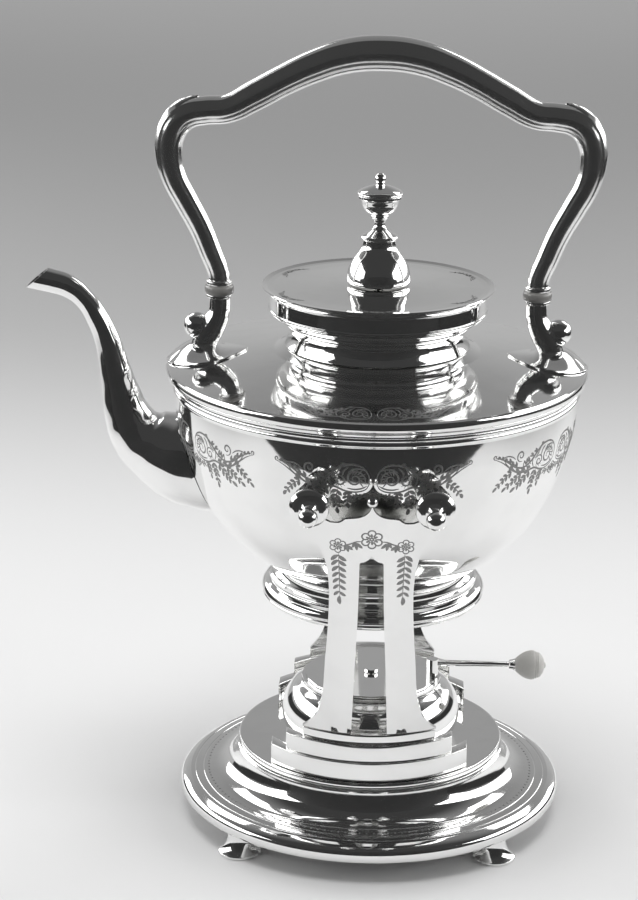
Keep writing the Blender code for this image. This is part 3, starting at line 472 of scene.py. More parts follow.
# %% Feet
foot_outline = outline(
    [(0.0, 9.2), (4.9, 9.2)],
    [(5.0, 9.0), (5.1, 7.6), (5.6, 5.4), (6.7, 3.2), (8.1, 1.8), (8.6, 1.45)],
    [(8.95, 1.2), (9.0, 0.8), (8.95, 0.3), (8.7, 0.0)],
    [(0.0, 0.0)],
)
foot_reach = 76.0 * math.sqrt(0.5) * MM
first_foot = spun("foot_turned", foot_outline, 64, origin=(0.0, 0.0, 0.0))
for corner, front, side in CORNERS:
    foot = copied(first_foot, f"trumpet_{corner}")
    about(foot, Matrix.Translation((AXIS_X + side * foot_reach, front * foot_reach, 0.0)))
    dressed(foot, silver_cast, "silver", "stand", f"foot_{corner}")
bpy.data.objects.remove(first_foot)


# %% [markdown]
# The plinths are three curved bars, each a little shorter and set back from the one below. One is a
# chain of edges along two arcs, filled, extruded upwards, and bevelled so that its edges shine.

# %% Plinths
def arc(radius, half_width, steps):
    reach = math.asin(half_width / radius)
    turns = [reach * (2 * step / steps - 1) for step in range(steps + 1)]
    return [(radius * math.sin(turn), -radius * math.cos(turn)) for turn in turns]


def filled(name, spots):
    """A flat face inside a closed chain of edges."""
    thing = drawn(name, spots + spots[:1])
    bpy.ops.mesh.select_all(action="SELECT")
    bpy.ops.mesh.remove_doubles(threshold=WELD)
    bpy.ops.mesh.edge_face_add()
    return thing


def raised(thing, offset):
    """Extrudes the whole face of a flat piece and closes it to a solid."""
    bpy.ops.mesh.select_all(action="SELECT")
    bpy.ops.mesh.extrude_region_move(TRANSFORM_OT_translate={"value": offset})
    bpy.ops.mesh.select_all(action="SELECT")
    bpy.ops.mesh.normals_make_consistent(inside=False)
    bpy.ops.object.mode_set(mode="OBJECT")
    return thing


courses = (
    ("low", 34.0, 8.4, 55.5, 41.5),
    ("middle", 42.7, 7.2, 54.6, 35.0),
    ("top", 50.2, 4.0, 53.0, 28.0),
)
for course_name, low, height, radius, half_width in courses:
    ring = arc(radius, half_width, 64) + arc(50.0, half_width, 64)[::-1]
    spots = [Vector((AXIS_X + x * MM, y * MM, low * MM)) for x, y in ring]
    front = raised(filled(f"course_{course_name}_front", spots), (0.0, 0.0, height * MM))
    worked(front, "BEVEL", width=0.35 * MM, segments=3, limit_method="ANGLE", angle_limit=math.radians(50))
    back = about(copied(front, f"course_{course_name}_back"), round_the_axis(180))
    dressed(front, silver_stand, "silver", "stand", f"plinth_{course_name}_front")
    dressed(back, silver_stand, "silver", "stand", f"plinth_{course_name}_back")

# %% [markdown]
# ## The uprights
#
# Each upright is a plate cut to the outline of a tulip and bent round the kettle's axis, leaning out
# with height. It is modelled as it was made: the outline is extruded right through, and what lies in
# a thin cone round the axis is kept. Round bosses carry the pins.

# %% Uprights
PIN_X, PIN_Z = 24.7, 167.0
PLATE_LOW, PLATE_RADIUS, PLATE_LEAN, PLATE_CURVE, PLATE_THICK = 54.5, 52.5, 0.23, 0.000997, 2.0
EYE_INNER, EYE_OUTER, EYE_RADIUS = 82.9, 90.44, 6.8

eye_turns = [math.radians(degrees) for degrees in range(-6, 224, 8)]
eye_arc = [(PIN_X + EYE_RADIUS * math.cos(turn), PIN_Z + EYE_RADIUS * math.sin(turn)) for turn in eye_turns]
half_plate = outline(
    [(28.0, 54.5), (25.5, 56.9), (22.6, 61.4), (20.6, 67.6), (19.4, 75.5), (18.6, 90.0), (17.6, 105.0),
     (17.0, 121.5), (17.2, 130.0), (18.3, 138.8), (20.6, 146.0), (25.5, 152.6), (30.0, 158.6), (31.3, 163.4)],
    eye_arc,
    [(18.6, 160.2), (16.5, 159.3), (13.0, 159.4), (11.8, 160.2), (10.6, 161.3), (6.0, 162.0), (3.0, 163.2),
     (1.3, 164.9), (0.7, 166.0), (0.0, 168.0)],
    soft=0.4, step=1.6,
)
half_slot = outline(
    [(7.5, 54.5), (6.25, 90.0), (5.3, 113.6), (4.8, 139.6)],
    [(4.4, 140.3), (2.8, 140.7), (1.2, 141.8), (0.4, 143.2)],
    [(0.0, 143.9)],
    soft=0.3, step=3.0,
)


def plate_radius(z):
    """Distance of the plate's outer face from the kettle's axis: it leans out more and more."""
    return PLATE_RADIUS + PLATE_LEAN * (z - PLATE_LOW) + PLATE_CURVE * (z - PLATE_LOW) ** 2


right_half = [Vector(point) for point in half_plate]
slot_half = [Vector(point) for point in half_slot]
around = ([(point.x, point.y) for point in right_half]
          + [(-point.x, point.y) for point in reversed(right_half[:-1])]
          + [(-point.x, point.y) for point in slot_half]
          + [(point.x, point.y) for point in reversed(slot_half[:-1])])
spots = [Vector((AXIS_X + x * MM, -40.0 * MM, z * MM)) for x, z in around]
plate = raised(filled("upright_plate", spots), (0.0, -60.0 * MM, 0.0))
shell_heights = range(50, 182, 4)
outer_face = [(plate_radius(z), z) for z in reversed(shell_heights)]
inner_face = [(plate_radius(z) - PLATE_THICK, z) for z in shell_heights]
shell = spun("upright_shell", outer_face + inner_face, 240, closed=True)
joined(plate, shell, "INTERSECT")
boss_outline = outline([(0.0, EYE_OUTER), (EYE_RADIUS, EYE_OUTER)],
                       [(EYE_RADIUS, EYE_INNER), (0.0, EYE_INNER)], soft=0.4)
for x in (-PIN_X, PIN_X):
    boss =spun("boss", boss_outline, 64, (AXIS_X + x * MM, 0.0, PIN_Z * MM), (0.0, -1.0, 0.0))
    joined(plate, boss)
for x in (-PIN_X, PIN_X):
    bore = spun("bore", [(0.0, 95.0), (2.3, 95.0), (2.3, 70.0), (0.0, 70.0)], 32,
                (AXIS_X + x * MM, 0.0, PIN_Z * MM), (0.0, -1.0, 0.0))
    joined(plate, bore, "DIFFERENCE")
worked(plate, "BEVEL", width=0.22 * MM, segments=2, limit_method="ANGLE", angle_limit=math.radians(55))
deselect()
bpy.ops.mesh.primitive_uv_sphere_add(segments=32, ring_count=20, radius=2.1 * MM,
                                     location=(AXIS_X, (1.0 - plate_radius(169.7)) * MM, 169.7 * MM))
bead = bpy.context.object
bpy.ops.object.transform_apply(location=True, rotation=True, scale=True)
joined(plate, bead)
back_plate = about(copied(plate, "upright_plate_back"), round_the_axis(180))
dressed(plate, silver_stand, "silver", "stand", "upright_front", smooth=15)
dressed(back_plate, silver_stand, "silver", "stand", "upright_back", smooth=15)

# %% [markdown]
# The pull-out pins are turned: a shaft, a domed collar and a ball to pull on.

# %% Pins
ball_turns = [math.radians(degrees) for degrees in range(0, 150, 10)]
pin_ball = [(3.85 * math.sin(turn), 104.0 + 3.85 * math.cos(turn)) for turn in ball_turns]
pin_outline = outline(
    pin_ball,
    [(1.9, 99.2), (2.1, 97.6), (2.6, 96.0), (3.9, 94.9)],
    [(5.8, 94.0), (7.3, 93.0), (7.9, 91.9)],
    [(8.0, 91.5), (7.8, 90.75)],
    [(2.0, 90.75), (2.0, 79.3), (1.5, 78.85), (0.0, 78.85)],
)
for corner, front, side in CORNERS:
    spot = (AXIS_X + side * PIN_X * MM, 0.0, PIN_Z * MM)
    pin = spun(f"pull_pin_{corner}", pin_outline, 64, spot, (0.0, front, 0.0))
    dressed(pin, silver_cast, "silver", f"{corner}_pin", f"pin_{corner}")

# %% [markdown]
# ## The kettle
#
# The bowl was raised with a hammer and planished, then the cone of the shoulder was soldered over its
# rim, and a waisted neck on that. Each is spun from its own outline, outer side and inner side, so the
# kettle is truly hollow and looks right with its lid open.

# %% Bowl
bowl_side = [(84.6, 189.4), (84.5, 187.0), (84.2, 182.6), (83.75, 178.0), (82.6, 172.0), (80.9, 165.8),
             (78.9, 159.0), (76.4, 152.0), (73.3, 145.0), (69.7, 138.6), (66.2, 133.6), (62.4, 129.4),
             (58.3, 125.3), (53.7, 121.4), (49.5, 118.3), (44.9, 115.2), (40.5, 112.1), (33.0, 108.2),
             (25.4, 106.2), (12.0, 104.0), (0.0, 103.2)]
bowl_inside = [(0.0, 104.4), (12.0, 105.2), (25.2, 107.4), (32.6, 109.4), (40.0, 113.3), (49.0, 119.5),
               (57.8, 126.6), (65.4, 134.6), (72.4, 145.4), (77.8, 159.2), (79.9, 166.2), (82.7, 178.2),
               (83.5, 189.0)]
bowl_outline = outline(
    [(83.6, 193.8), (85.0, 193.8)],
    [(85.4, 193.4), (85.5, 192.8), (85.3, 192.3)],
    [(85.05, 192.0), (85.3, 191.7)],
    [(85.5, 191.2), (85.5, 190.5), (85.2, 190.0), (84.8, 189.7)],
    bowl_side, bowl_inside,
)
bowl = spun("bowl_raised", bowl_outline, 220)
solid_bowl = spun("bowl_core", outline([(0.0, 199.0), (86.0, 199.0)], bowl_side), 220)

STRAINER_Z, STRAINER_PITCH, HOLES_ROUND = 156.7, 6.8, 6
for step in range(HOLES_ROUND + 1):
    turn = math.tau * step / HOLES_ROUND
    reach = STRAINER_PITCH if step < HOLES_ROUND else 0.0
    spot = (AXIS_X, reach * math.cos(turn) * MM, (STRAINER_Z + reach * math.sin(turn)) * MM)
    hole = spun("strainer", [(0.0, 90.0), (2.2, 90.0), (2.2, 60.0), (0.0, 60.0)], 20, spot, (-1.0, 0.0, 0.0))
    joined(bowl, hole, "DIFFERENCE")
dressed(bowl, silver_body, "silver", "kettle", "bowl")

# %% [markdown]
# The shoulder is a flat cone with a rolled edge. The neck narrows to a waist and opens to the lid's seat.
# The ring under the bowl is what the kettle stands on when it is off its pins.

# %% Shoulder and neck
shoulder_outline = outline(
    [(36.8, 209.0), (38.6, 208.9), (43.0, 207.1)],
    [(43.6, 206.95), (54.0, 205.5), (66.0, 203.75), (78.0, 202.0), (85.4, 200.85)],
    [(86.8, 200.65), (87.8, 200.2), (88.3, 199.2), (88.25, 197.8), (87.4, 196.5), (86.2, 195.6),
     (85.6, 194.4)],
    [(84.2, 194.3), (84.6, 195.6), (86.6, 197.2)],
    [(87.0, 199.0), (85.4, 199.8), (66.0, 202.7), (43.0, 206.0), (36.8, 207.9)],
)
shoulder = spun("shoulder_cone", shoulder_outline, 220, closed=True)
dressed(shoulder, silver_body, "silver", "kettle", "shoulder")

neck_outline = outline(
    [(37.9, 223.45), (44.4, 223.5)],
    [(44.5, 223.1), (44.2, 222.7), (42.4, 222.3), (40.4, 221.7), (39.3, 220.9), (39.0, 219.8)],
    [(39.1, 219.4), (39.0, 218.9), (38.6, 218.5)],
    [(38.1, 218.1), (37.3, 217.2), (36.95, 216.0), (37.0, 214.6), (37.4, 213.0), (38.1, 211.2),
     (38.9, 209.5)],
    [(38.9, 209.4), (37.7, 209.4)],
    [(36.4, 212.0), (36.0, 214.3), (36.0, 216.2), (36.7, 217.6), (37.6, 218.9), (37.9, 220.6)],
)
dressed(spun("neck_waisted", neck_outline, 200, closed=True), silver_body, "silver", "kettle", "neck")

foot_ring_outline = outline(
    [(39.6, 111.3), (40.6, 111.1), (42.2, 109.9), (42.8, 109.4)],
    [(43.5, 109.2), (44.4, 108.3), (44.5, 107.3), (44.0, 106.7)],
    [(44.1, 106.3), (44.9, 105.9)],
    [(46.2, 105.0), (47.4, 103.6), (47.8, 102.2), (47.4, 101.3)],
    [(47.0, 101.0), (47.0, 100.6)],
    [(47.3, 100.2), (47.3, 99.5), (46.9, 98.8)],
    [(45.0, 98.8), (44.6, 100.0), (42.6, 103.0), (41.6, 106.6), (39.4, 109.8)],
)
foot_ring = spun("foot_ring", foot_ring_outline, 180, closed=True)
dressed(foot_ring, silver_body, "silver", "kettle", "kettle_foot")


# %% [markdown]
# ## The spout
#
# A swan-neck spout is a tube whose middle line and width both change. A path curve with a round bevel
# does that: each point carries its own radius. A thinner copy hollows it, the bowl trims its root and
# a slanting cut opens the lip.

# %% Spout
def piped(name, stations, sides=10, profile=None):
    """A bar along a smooth path in the middle plane. A station is X from the axis, Z and radius."""
    deselect()
    bpy.ops.curve.primitive_bezier_curve_add()
    path = bpy.context.object
    path.name = name
    spline = path.data.splines[0]
    spline.bezier_points.add(len(stations) - 2)
    widest = max(radius for x, z, radius in stations)
    for point, (x, z, radius) in zip(spline.bezier_points, stations):
        point.co = (AXIS_X + x * MM, 0.0, z * MM)
        point.radius = radius / widest
        point.handle_left_type = "AUTO"
        point.handle_right_type = "AUTO"
    spline.radius_interpolation = "CARDINAL"
    path.data.resolution_u = 8
    path.data.use_fill_caps = True
    if profile:
        path.data.bevel_mode = "OBJECT"
        path.data.bevel_object = profile
    else:
        path.data.bevel_depth = widest * MM
        path.data.bevel_resolution = sides
    only(path)
    bpy.ops.object.transform_apply(location=True, rotation=True, scale=True)
    bpy.ops.object.convert(target="MESH")
    thing = bpy.context.object
    bpy.ops.object.mode_set(mode="EDIT")
    bpy.ops.mesh.select_all(action="SELECT")
    bpy.ops.mesh.remove_doubles(threshold=WELD)
    bpy.ops.mesh.normals_make_consistent(inside=False)
    bpy.ops.object.mode_set(mode="OBJECT")
    return thing


spout_line = [
    (50.0, 149.4, 15.4), (62.0, 151.0, 17.0), (72.0, 153.5, 18.7), (83.0, 158.3, 19.4), (93.0, 162.6, 15.9),
    (99.8, 167.2, 12.8), (104.8, 175.4, 10.0), (107.8, 186.0, 7.9), (110.3, 196.5, 6.4), (113.1, 208.0, 5.3),
    (117.0, 217.4, 4.7), (122.4, 225.7, 4.3), (129.2, 231.1, 4.8), (135.9, 233.2, 5.0), (142.4, 234.5, 5.0),
    (149.0, 235.9, 5.0),
]
SPOUT_WALL = 0.8
JOINT_LINE = 0.28 / 84.5
LIP_X, LIP_Z, LIP_SLANT = 146.5, 230.6, math.radians(41)

spout = piped("spout_swan", [(-x, z, radius) for x, z, radius in spout_line], 14)
channel_line = [(44.0, 149.0, 15.4)] + spout_line[1:] + [(156.0, 237.4, 5.0)]
channel = piped("spout_way", [(-x, z, radius - SPOUT_WALL) for x, z, radius in channel_line], 12)
joined(spout, channel, "DIFFERENCE")
trimmer = copied(solid_bowl, "spout_trimmer")
about(trimmer, TO_AXIS @ Matrix.Diagonal((1 + JOINT_LINE, 1 + JOINT_LINE, 1.0, 1.0)) @ FROM_AXIS)
joined(spout, trimmer, "DIFFERENCE")
print("the spout, hollowed and trimmed, has", len(spout.data.polygons), "faces")
only(spout)
bpy.ops.object.mode_set(mode="EDIT")
bpy.ops.mesh.select_all(action="SELECT")
bpy.ops.mesh.bisect(plane_co=(AXIS_X - LIP_X * MM, 0.0, LIP_Z * MM),
                    plane_no=(-math.sin(LIP_SLANT), 0.0, math.cos(LIP_SLANT)),
                    clear_outer=True, use_fill=False)
bpy.ops.object.mode_set(mode="OBJECT")
rim = bmesh.new()
rim.from_mesh(spout.data)
open_edges = [edge for edge in rim.edges if edge.is_boundary]
bmesh.ops.bridge_loops(rim, edges=open_edges)
bmesh.ops.recalc_face_normals(rim, faces=rim.faces)
rim.to_mesh(spout.data)
rim.free()
dressed(spout, silver_body, "silver", "kettle", "spout")

# %% [markdown]
# ## Lugs
#
# Four short eyes stand on the bowl behind the uprights. The left pair are closed, and the kettle tips
# on them. The right pair are open below, so that they lift off their pins.

# %% Lugs
LUG_RADIUS, LUG_FACE, LUG_ROOT, BORE_RADIUS = 5.5, 82.6, 66.0, 2.3
lug_outline = outline([(0.0, LUG_FACE), (LUG_RADIUS, LUG_FACE)], [(LUG_RADIUS, LUG_ROOT), (0.0, LUG_ROOT)],
                      soft=0.3)
bore_outline = [(0.0, 88.0), (BORE_RADIUS, 88.0), (BORE_RADIUS, 60.0), (0.0, 60.0)]
for corner, front, side in CORNERS:
    spot = (AXIS_X + side * PIN_X * MM, 0.0, PIN_Z * MM)
    lug = spun(f"eye_{corner}", lug_outline, 48, spot, (0.0, front, 0.0))
    joined(lug, solid_bowl, "DIFFERENCE", keep=True)
    joined(lug, spun("lug_bore", bore_outline, 32, spot, (0.0, front, 0.0)), "DIFFERENCE")
    if side > 0:
        deselect()
        bpy.ops.mesh.primitive_cube_add(size=1.0, location=(spot[0], front * 75.0 * MM, spot[2] - 5.0 * MM),
                                        scale=(4.6 * MM, 26.0 * MM, 10.0 * MM))
        mouth = bpy.context.object
        for vertex in mouth.data.vertices:
            if vertex.co.z < 0:
                vertex.co.x *= 1.5
        joined(lug, mouth, "DIFFERENCE")
    dressed(lug, silver_cast, "silver", "kettle", f"lug_{corner}")


# %% [markdown]
# ## The handle
#
# The handle is fixed. Two cast sockets with a ball-shaped lobe stand on leaf-shaped pads on the
# shoulder. An ivory ring on each keeps the heat from the grip, a hollow tube made of two half shells.
# Their seam is a fine raised line on each side of its under surface, so the tube gets its own profile.

# %% Pads
SLOPE = math.atan2(202.0 - 205.5, 78.0 - 54.0)


def shoulder_z(radius):
    """Height of the cone of the shoulder at a radius, in millimetres."""
    if radius < 85.4:
        return 205.5 + (radius - 54.0) * math.tan(SLOPE)
    return 200.85 - (radius - 85.4) ** 2 * 0.11


def pad_rise(across):
    """How high the dome of a pad stands over the shoulder, along its middle line."""
    line = [(54.0, 0.7), (60.0, 1.1), (64.3, 1.7), (66.6, 3.5), (68.6, 5.0), (72.0, 6.2), (77.0, 6.4),
            (79.5, 5.9), (82.0, 4.9), (85.7, 2.5), (87.6, 1.0), (88.6, 0.7)]
    for (low, low_rise), (high, high_rise) in zip(line, line[1:]):
        if across < high:
            return low_rise + (high_rise - low_rise) * (across - low) / (high - low)
    return line[-1][1]


PAD_EDGE = 0.75
deselect()
bpy.ops.mesh.primitive_uv_sphere_add(segments=96, ring_count=56, radius=1.0)
pad = bpy.context.object
for vertex in pad.data.vertices:
    x, y, z = vertex.co
    pinch = math.sqrt(1.0 - 0.93 * max(-x, 0.0) ** 1.3)
    across = 71.35 + x * 17.05
    side = y * 17.6 * pinch
    floor = shoulder_z(math.hypot(across, side))
    edge = y * y / max(1.0 - x * x, 0.0001)
    swell = PAD_EDGE * min(1.0, max(z, 0.0) / 0.08) ** 0.5
    swell += (pad_rise(across) - PAD_EDGE) * max(1.0 - edge, 0.0) ** 1.6 * (z > 0)
    vertex.co = (across * MM, side * MM, (floor + 0.05 + swell - 0.35 * (z < 0)) * MM)
worked(pad, "SMOOTH", factor=0.5, iterations=2)
for side_name, side in SIDES:
    leaf = copied(pad, f"pad_domed_{side_name}")
    about(leaf, TO_AXIS @ Matrix.Diagonal((side, 1.0, 1.0, 1.0)))
    dressed(leaf, silver_cast, "silver", "kettle", f"pad_{side_name}")
bpy.data.objects.remove(pad)

# %% [markdown]
# A socket is a bent stem with a ball on its outer side. A voxel remesh melts the two into one casting.

# %% Sockets
FOOT_X = 66.2
socket_line = [(72.2, 203.0, 8.5), (72.4, 206.0, 6.2), (72.4, 208.4, 5.3), (71.8, 210.5, 5.4),
               (70.0, 213.5, 5.6), (67.8, 217.5, 5.0), (66.3, 221.5, 4.5), (66.0, 225.0, 4.4),
               (66.0, 228.6, 4.45)]
socket = piped("socket", socket_line, 10)
deselect()
bpy.ops.mesh.primitive_uv_sphere_add(segments=32, ring_count=20, radius=5.5 * MM,
                                     location=(AXIS_X + 75.6 * MM, 0.0, 215.6 * MM))
lobe = bpy.context.object
bpy.ops.object.transform_apply(location=True, rotation=True, scale=True)
joined(socket, lobe)
only(socket)
socket.data.remesh_voxel_size = 0.3 * MM
bpy.ops.object.voxel_remesh()
worked(socket, "SMOOTH", factor=0.5, iterations=9)
collar_outline = outline([(0.0, 229.4), (5.2, 229.4)], [(5.4, 229.1), (5.4, 228.5), (4.9, 227.8)],
                         [(0.0, 227.8)])
collar = spun("collar", collar_outline, 48, (AXIS_X + FOOT_X * MM, 0.0, 0.0))
joined(socket, collar)
for side_name, side in SIDES:
    piece = about(copied(socket, f"socket_cast_{side_name}"), to_side(side))
    dressed(piece, silver_cast, "silver", "kettle", f"socket_{side_name}")
bpy.data.objects.remove(socket)

# %% [markdown]
# The two ivory rings sit between the sockets and the grip.

# %% Insulators
ring_outline = outline(
    [(0.0, 229.4), (5.4, 229.4)],
    [(5.8, 229.6), (6.05, 230.3), (6.1, 231.25), (6.05, 232.2), (5.8, 232.9)],
    [(5.4, 233.1), (0.0, 233.1)],
)
for side_name, side in SIDES:
    ring = spun(f"insulator_ring_{side_name}", ring_outline, 64, (AXIS_X + side * FOOT_X * MM, 0.0, 0.0))
    dressed(ring, aged_ivory, "ivory", "kettle", f"insulator_{side_name}")

# %% [markdown]
# The grip follows one half of its line and the mirror image of it. Its section has the raised seams,
# and a spur curls in from each shoulder of the handle.

# %% Grip
handle_half = [
    (66.2, 234.75, 4.45), (66.25, 237.0, 4.45), (67.2, 240.6, 4.5), (69.1, 245.2, 4.6), (74.0, 257.3, 4.8),
    (80.0, 268.6, 5.05), (85.0, 278.5, 5.2), (86.9, 287.2, 5.6), (86.4, 295.0, 6.0), (83.6, 300.9, 6.2),
    (79.0, 304.4, 6.1), (72.0, 305.9, 5.9), (63.0, 306.8, 5.9), (52.0, 312.4, 6.3), (39.7, 319.2, 6.4),
    (27.8, 324.9, 6.8), (15.0, 329.2, 7.1), (0.0, 330.75, 7.25),
]
handle_line = [(-x, z, r) for x, z, r in handle_half] + [(x, z, r) for x, z, r in handle_half[-2::-1]]

GRIP_RADIUS, SECTION_STEPS = 7.25, 72
section = []
for index in range(SECTION_STEPS):
    turn = math.tau * index / SECTION_STEPS
    off = math.degrees(abs(turn - math.pi))
    size = 1.0
    if off < 34:
        size = 0.93
    elif off < 42:
        size = 0.93 + 0.03 * (off - 34) / 8
    elif off < 56:
        size = 0.96 + 0.045 * math.sin(math.pi * (off - 42) / 14) + 0.03 * (off - 42) / 14
    section.append((size * math.cos(turn), size * math.sin(turn)))
deselect()
bpy.ops.curve.primitive_nurbs_circle_add(radius=1.0)
profile = bpy.context.object
profile.data.splines.clear()
loop = profile.data.splines.new("POLY")
loop.points.add(len(section) - 1)
for point, (x, y) in zip(loop.points, section):
    point.co = (x * GRIP_RADIUS * MM, y * GRIP_RADIUS * MM, 0.0, 1.0)
loop.use_cyclic_u = True
grip = piped("grip_scroll", handle_line, profile=profile)
bpy.data.objects.remove(profile)
spur_line = [(87.2, 296.0, 4.8), (84.6, 301.7, 5.2), (81.4, 305.8, 4.7), (78.2, 308.8, 3.3),
             (76.0, 310.9, 1.7), (74.8, 312.0, 0.4)]
cuff_outline = outline([(0.0, 235.4), (4.8, 235.4)], [(5.3, 234.9), (5.4, 233.9), (5.1, 233.1)],
                       [(0.0, 233.1)])
for side_name, side in SIDES:
    joined(grip, piped("spur", [(side * x, z, radius) for x, z, radius in spur_line], 8))
    joined(grip, spun("cuff", cuff_outline, 48, (AXIS_X + side * FOOT_X * MM, 0.0, 0.0)))
dressed(grip, silver_grip, "silver", "kettle", "grip", smooth=40)

# %% [markdown]
# ## The lid
#
# The lid is a shallow cap. Its band drops over the neck's edge, a thin rim stands out round the top,
# and the top itself is almost flat, so it mirrors the backdrop as one quiet grey. The finial is turned.

# %% Lid
lid_outline = outline(
    [(2.4, 235.2), (8.0, 235.15), (20.0, 234.6), (36.0, 234.0), (44.0, 233.9)],
    [(46.2, 234.05), (47.6, 234.45), (48.2, 234.6), (48.55, 234.3), (48.3, 233.9), (47.4, 233.4),
     (46.4, 233.1)],
    [(46.1, 232.7), (46.0, 232.3), (45.7, 232.1)],
    [(45.9, 231.8), (45.8, 231.3), (45.5, 231.1)],
    [(45.4, 225.3)],
    [(45.7, 225.0), (45.75, 224.4), (45.5, 223.9)],
    [(44.5, 223.9), (44.4, 231.2)],
    [(43.2, 232.4), (36.0, 232.6), (20.0, 233.2), (2.4, 233.9)],
)
dressed(spun("lid_cap", lid_outline, 200, closed=True), silver_body, "silver", "hinged_lid", "lid")

finial_outline = outline(
    [(0.0, 281.7), (1.2, 281.4), (2.0, 280.4), (2.3, 279.0), (1.9, 277.9), (1.5, 277.2)],
    [(2.6, 276.6), (4.6, 276.0), (6.8, 275.2), (8.6, 274.3), (9.4, 273.5)],
    [(9.5, 273.1), (9.2, 272.6)],
    [(8.9, 272.4), (9.2, 272.1), (9.2, 271.5), (8.8, 271.1)],
    [(8.0, 270.9), (7.8, 270.2), (7.5, 268.6), (6.7, 266.8), (5.4, 265.3), (4.2, 264.6)],
    [(3.4, 264.3), (3.7, 263.8), (3.7, 263.2), (3.3, 262.7)],
    [(2.6, 262.2), (2.2, 260.9), (2.3, 259.6), (3.0, 258.4), (4.2, 257.3), (5.8, 256.3), (6.6, 255.9)],
    [(7.4, 255.5), (7.7, 254.9), (7.4, 254.2)],
    [(7.0, 253.8), (7.0, 252.6), (7.2, 251.2), (7.7, 250.0), (8.6, 248.8), (10.2, 246.6), (11.9, 243.2),
     (13.0, 240.0), (13.5, 237.2), (13.3, 236.2), (12.6, 235.6)],
    [(11.6, 235.5), (2.0, 235.5), (2.0, 230.0), (0.0, 230.0)],
    step=0.6,
)
dressed(spun("finial_turned", finial_outline, 96), silver_cast, "silver", "hinged_lid", "finial")

bezel_outline = outline([(36.5, 232.0), (37.3, 232.0)], [(37.3, 219.4), (36.9, 219.2), (36.5, 219.4)])
bezel = spun("bezel_ring", bezel_outline, 160, closed=True)
dressed(bezel, silver_plain, "silver", "hinged_lid", "lid_bezel")

# %% [markdown]
# ## The burner
#
# The font is a flattened globe for the spirit. A flat cover carries four wick tubes, and a turning
# plate over them shuts them all when its lever is swung. The lever ends in an ivory acorn.

# %% Font
font_outline = outline(
    [(29.4, 58.6), (30.2, 58.5)],
    [(30.6, 58.1), (34.4, 55.3), (37.6, 50.2), (38.6, 44.6), (37.9, 39.8), (35.9, 36.2), (34.4, 34.6)],
    [(34.0, 34.0), (32.5, 34.0)],
    [(31.6, 35.0), (20.0, 35.4), (0.0, 35.5)],
    [(0.0, 36.4), (31.8, 36.2), (34.6, 37.0), (36.9, 40.4), (37.6, 44.6), (36.6, 49.8), (33.6, 54.5),
     (29.4, 57.6)],
)
dressed(spun("font_globe", font_outline, 160), silver_plain, "silver", "burner", "font")

# %% [markdown]
# The lever's rod, ferrule and acorn are turned on one level axis.

# %% Lever
LEVER_Z = 66.0
level = (AXIS_X, 0.0, LEVER_Z * MM)
knob_outline = outline(
    [(1.2, 62.6), (2.6, 62.6)],
    [(2.95, 62.8), (4.4, 64.5), (5.6, 66.5), (6.2, 68.2), (6.4, 69.7), (6.2, 70.9)],
    [(5.75, 71.1), (5.95, 71.6)],
    [(5.5, 71.9), (5.55, 72.5)],
    [(5.0, 73.4), (3.8, 74.4), (2.4, 75.0), (1.4, 75.2)],
    [(1.3, 75.5), (0.8, 75.8), (0.0, 75.9)],
    [(0.0, 67.6), (1.2, 67.6)],
)
outwards = (1.0, 0.0, 0.0)
knob = spun("acorn_knob", knob_outline, 72, level, outwards)
dressed(knob, ivory, "ivory", "regulator", "lever_knob")

rod_outline = outline([(0.0, 26.4), (1.4, 26.4)], [(1.1, 61.0), (1.1, 67.3), (0.0, 67.3)])
rod = spun("rod_turned", rod_outline, 32, level, outwards)
dressed(rod, silver_plain, "silver", "regulator", "lever_rod")

ferrule_outline = outline([(1.35, 59.8), (1.9, 59.8)], [(2.1, 60.4), (2.3, 61.4), (2.65, 62.4)],
                          [(1.35, 62.4)])
ferrule = spun("ferrule_turned", ferrule_outline, 40, level, outwards, closed=True)
dressed(ferrule, silver_plain, "silver", "regulator", "lever_ferrule")

# %% [markdown]
# ## What stays from the CAD model
#
# Small and flat things are right as they are: the hinge, the cross pins, the cover with its tubes.
# They get the same silver and cotton as the rest.

# %% Carried-over pieces
kept_silver = [f"cross_pin_{height}_{side_name}" for side_name, side in SIDES for height in ("low", "high")]
kept_silver += ["hinge_bracket", "hinge_pin", "lid_leaf", "finial_nut", "cover_plate", "cover_screw",
                "turning_plate"]
kept_cotton = [f"wick_{number}" for number in range(1, 5)]
for node in kept_silver + kept_cotton:
    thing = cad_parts[node]
    for holder in thing.material_slots:
        holder.material = silver_plain if node in kept_silver else cotton


# %% [markdown]
# ## Engraving
#
# The ornament is the common stock of the trade: scrolls of acanthus, small flowers and hanging sprays
# of leaves. Each cut of the graver is a stroke on paper, in millimetres, that starts and ends thin.
# The same strokes are then laid on the bowl, the shoulder, the lid or the plate of an upright.

# %% Strokes
def stroke(points, width, ends=0.12, step=0.9):
    """One cut: a smooth line with a width that swells in the middle."""
    path = flowing(points, step)
    count = len(path) - 1
    widths = [ends + (width - ends) * math.sin(math.pi * index / count) ** 0.7 for index in range(count + 1)]
    return path, widths


def scroll(x, y, wide, narrow, start, turns, width):
    """A spiral cut."""
    steps = max(8, int(14 * abs(turns)))
    points = []
    for index in range(steps + 1):
        t = index / steps
        radius = wide + (narrow - wide) * t ** 0.8
        turn = math.radians(start) + math.tau * turns * t
        points.append((x + radius * math.cos(turn), y + radius * math.sin(turn)))
    return stroke(points, width, step=0.5)


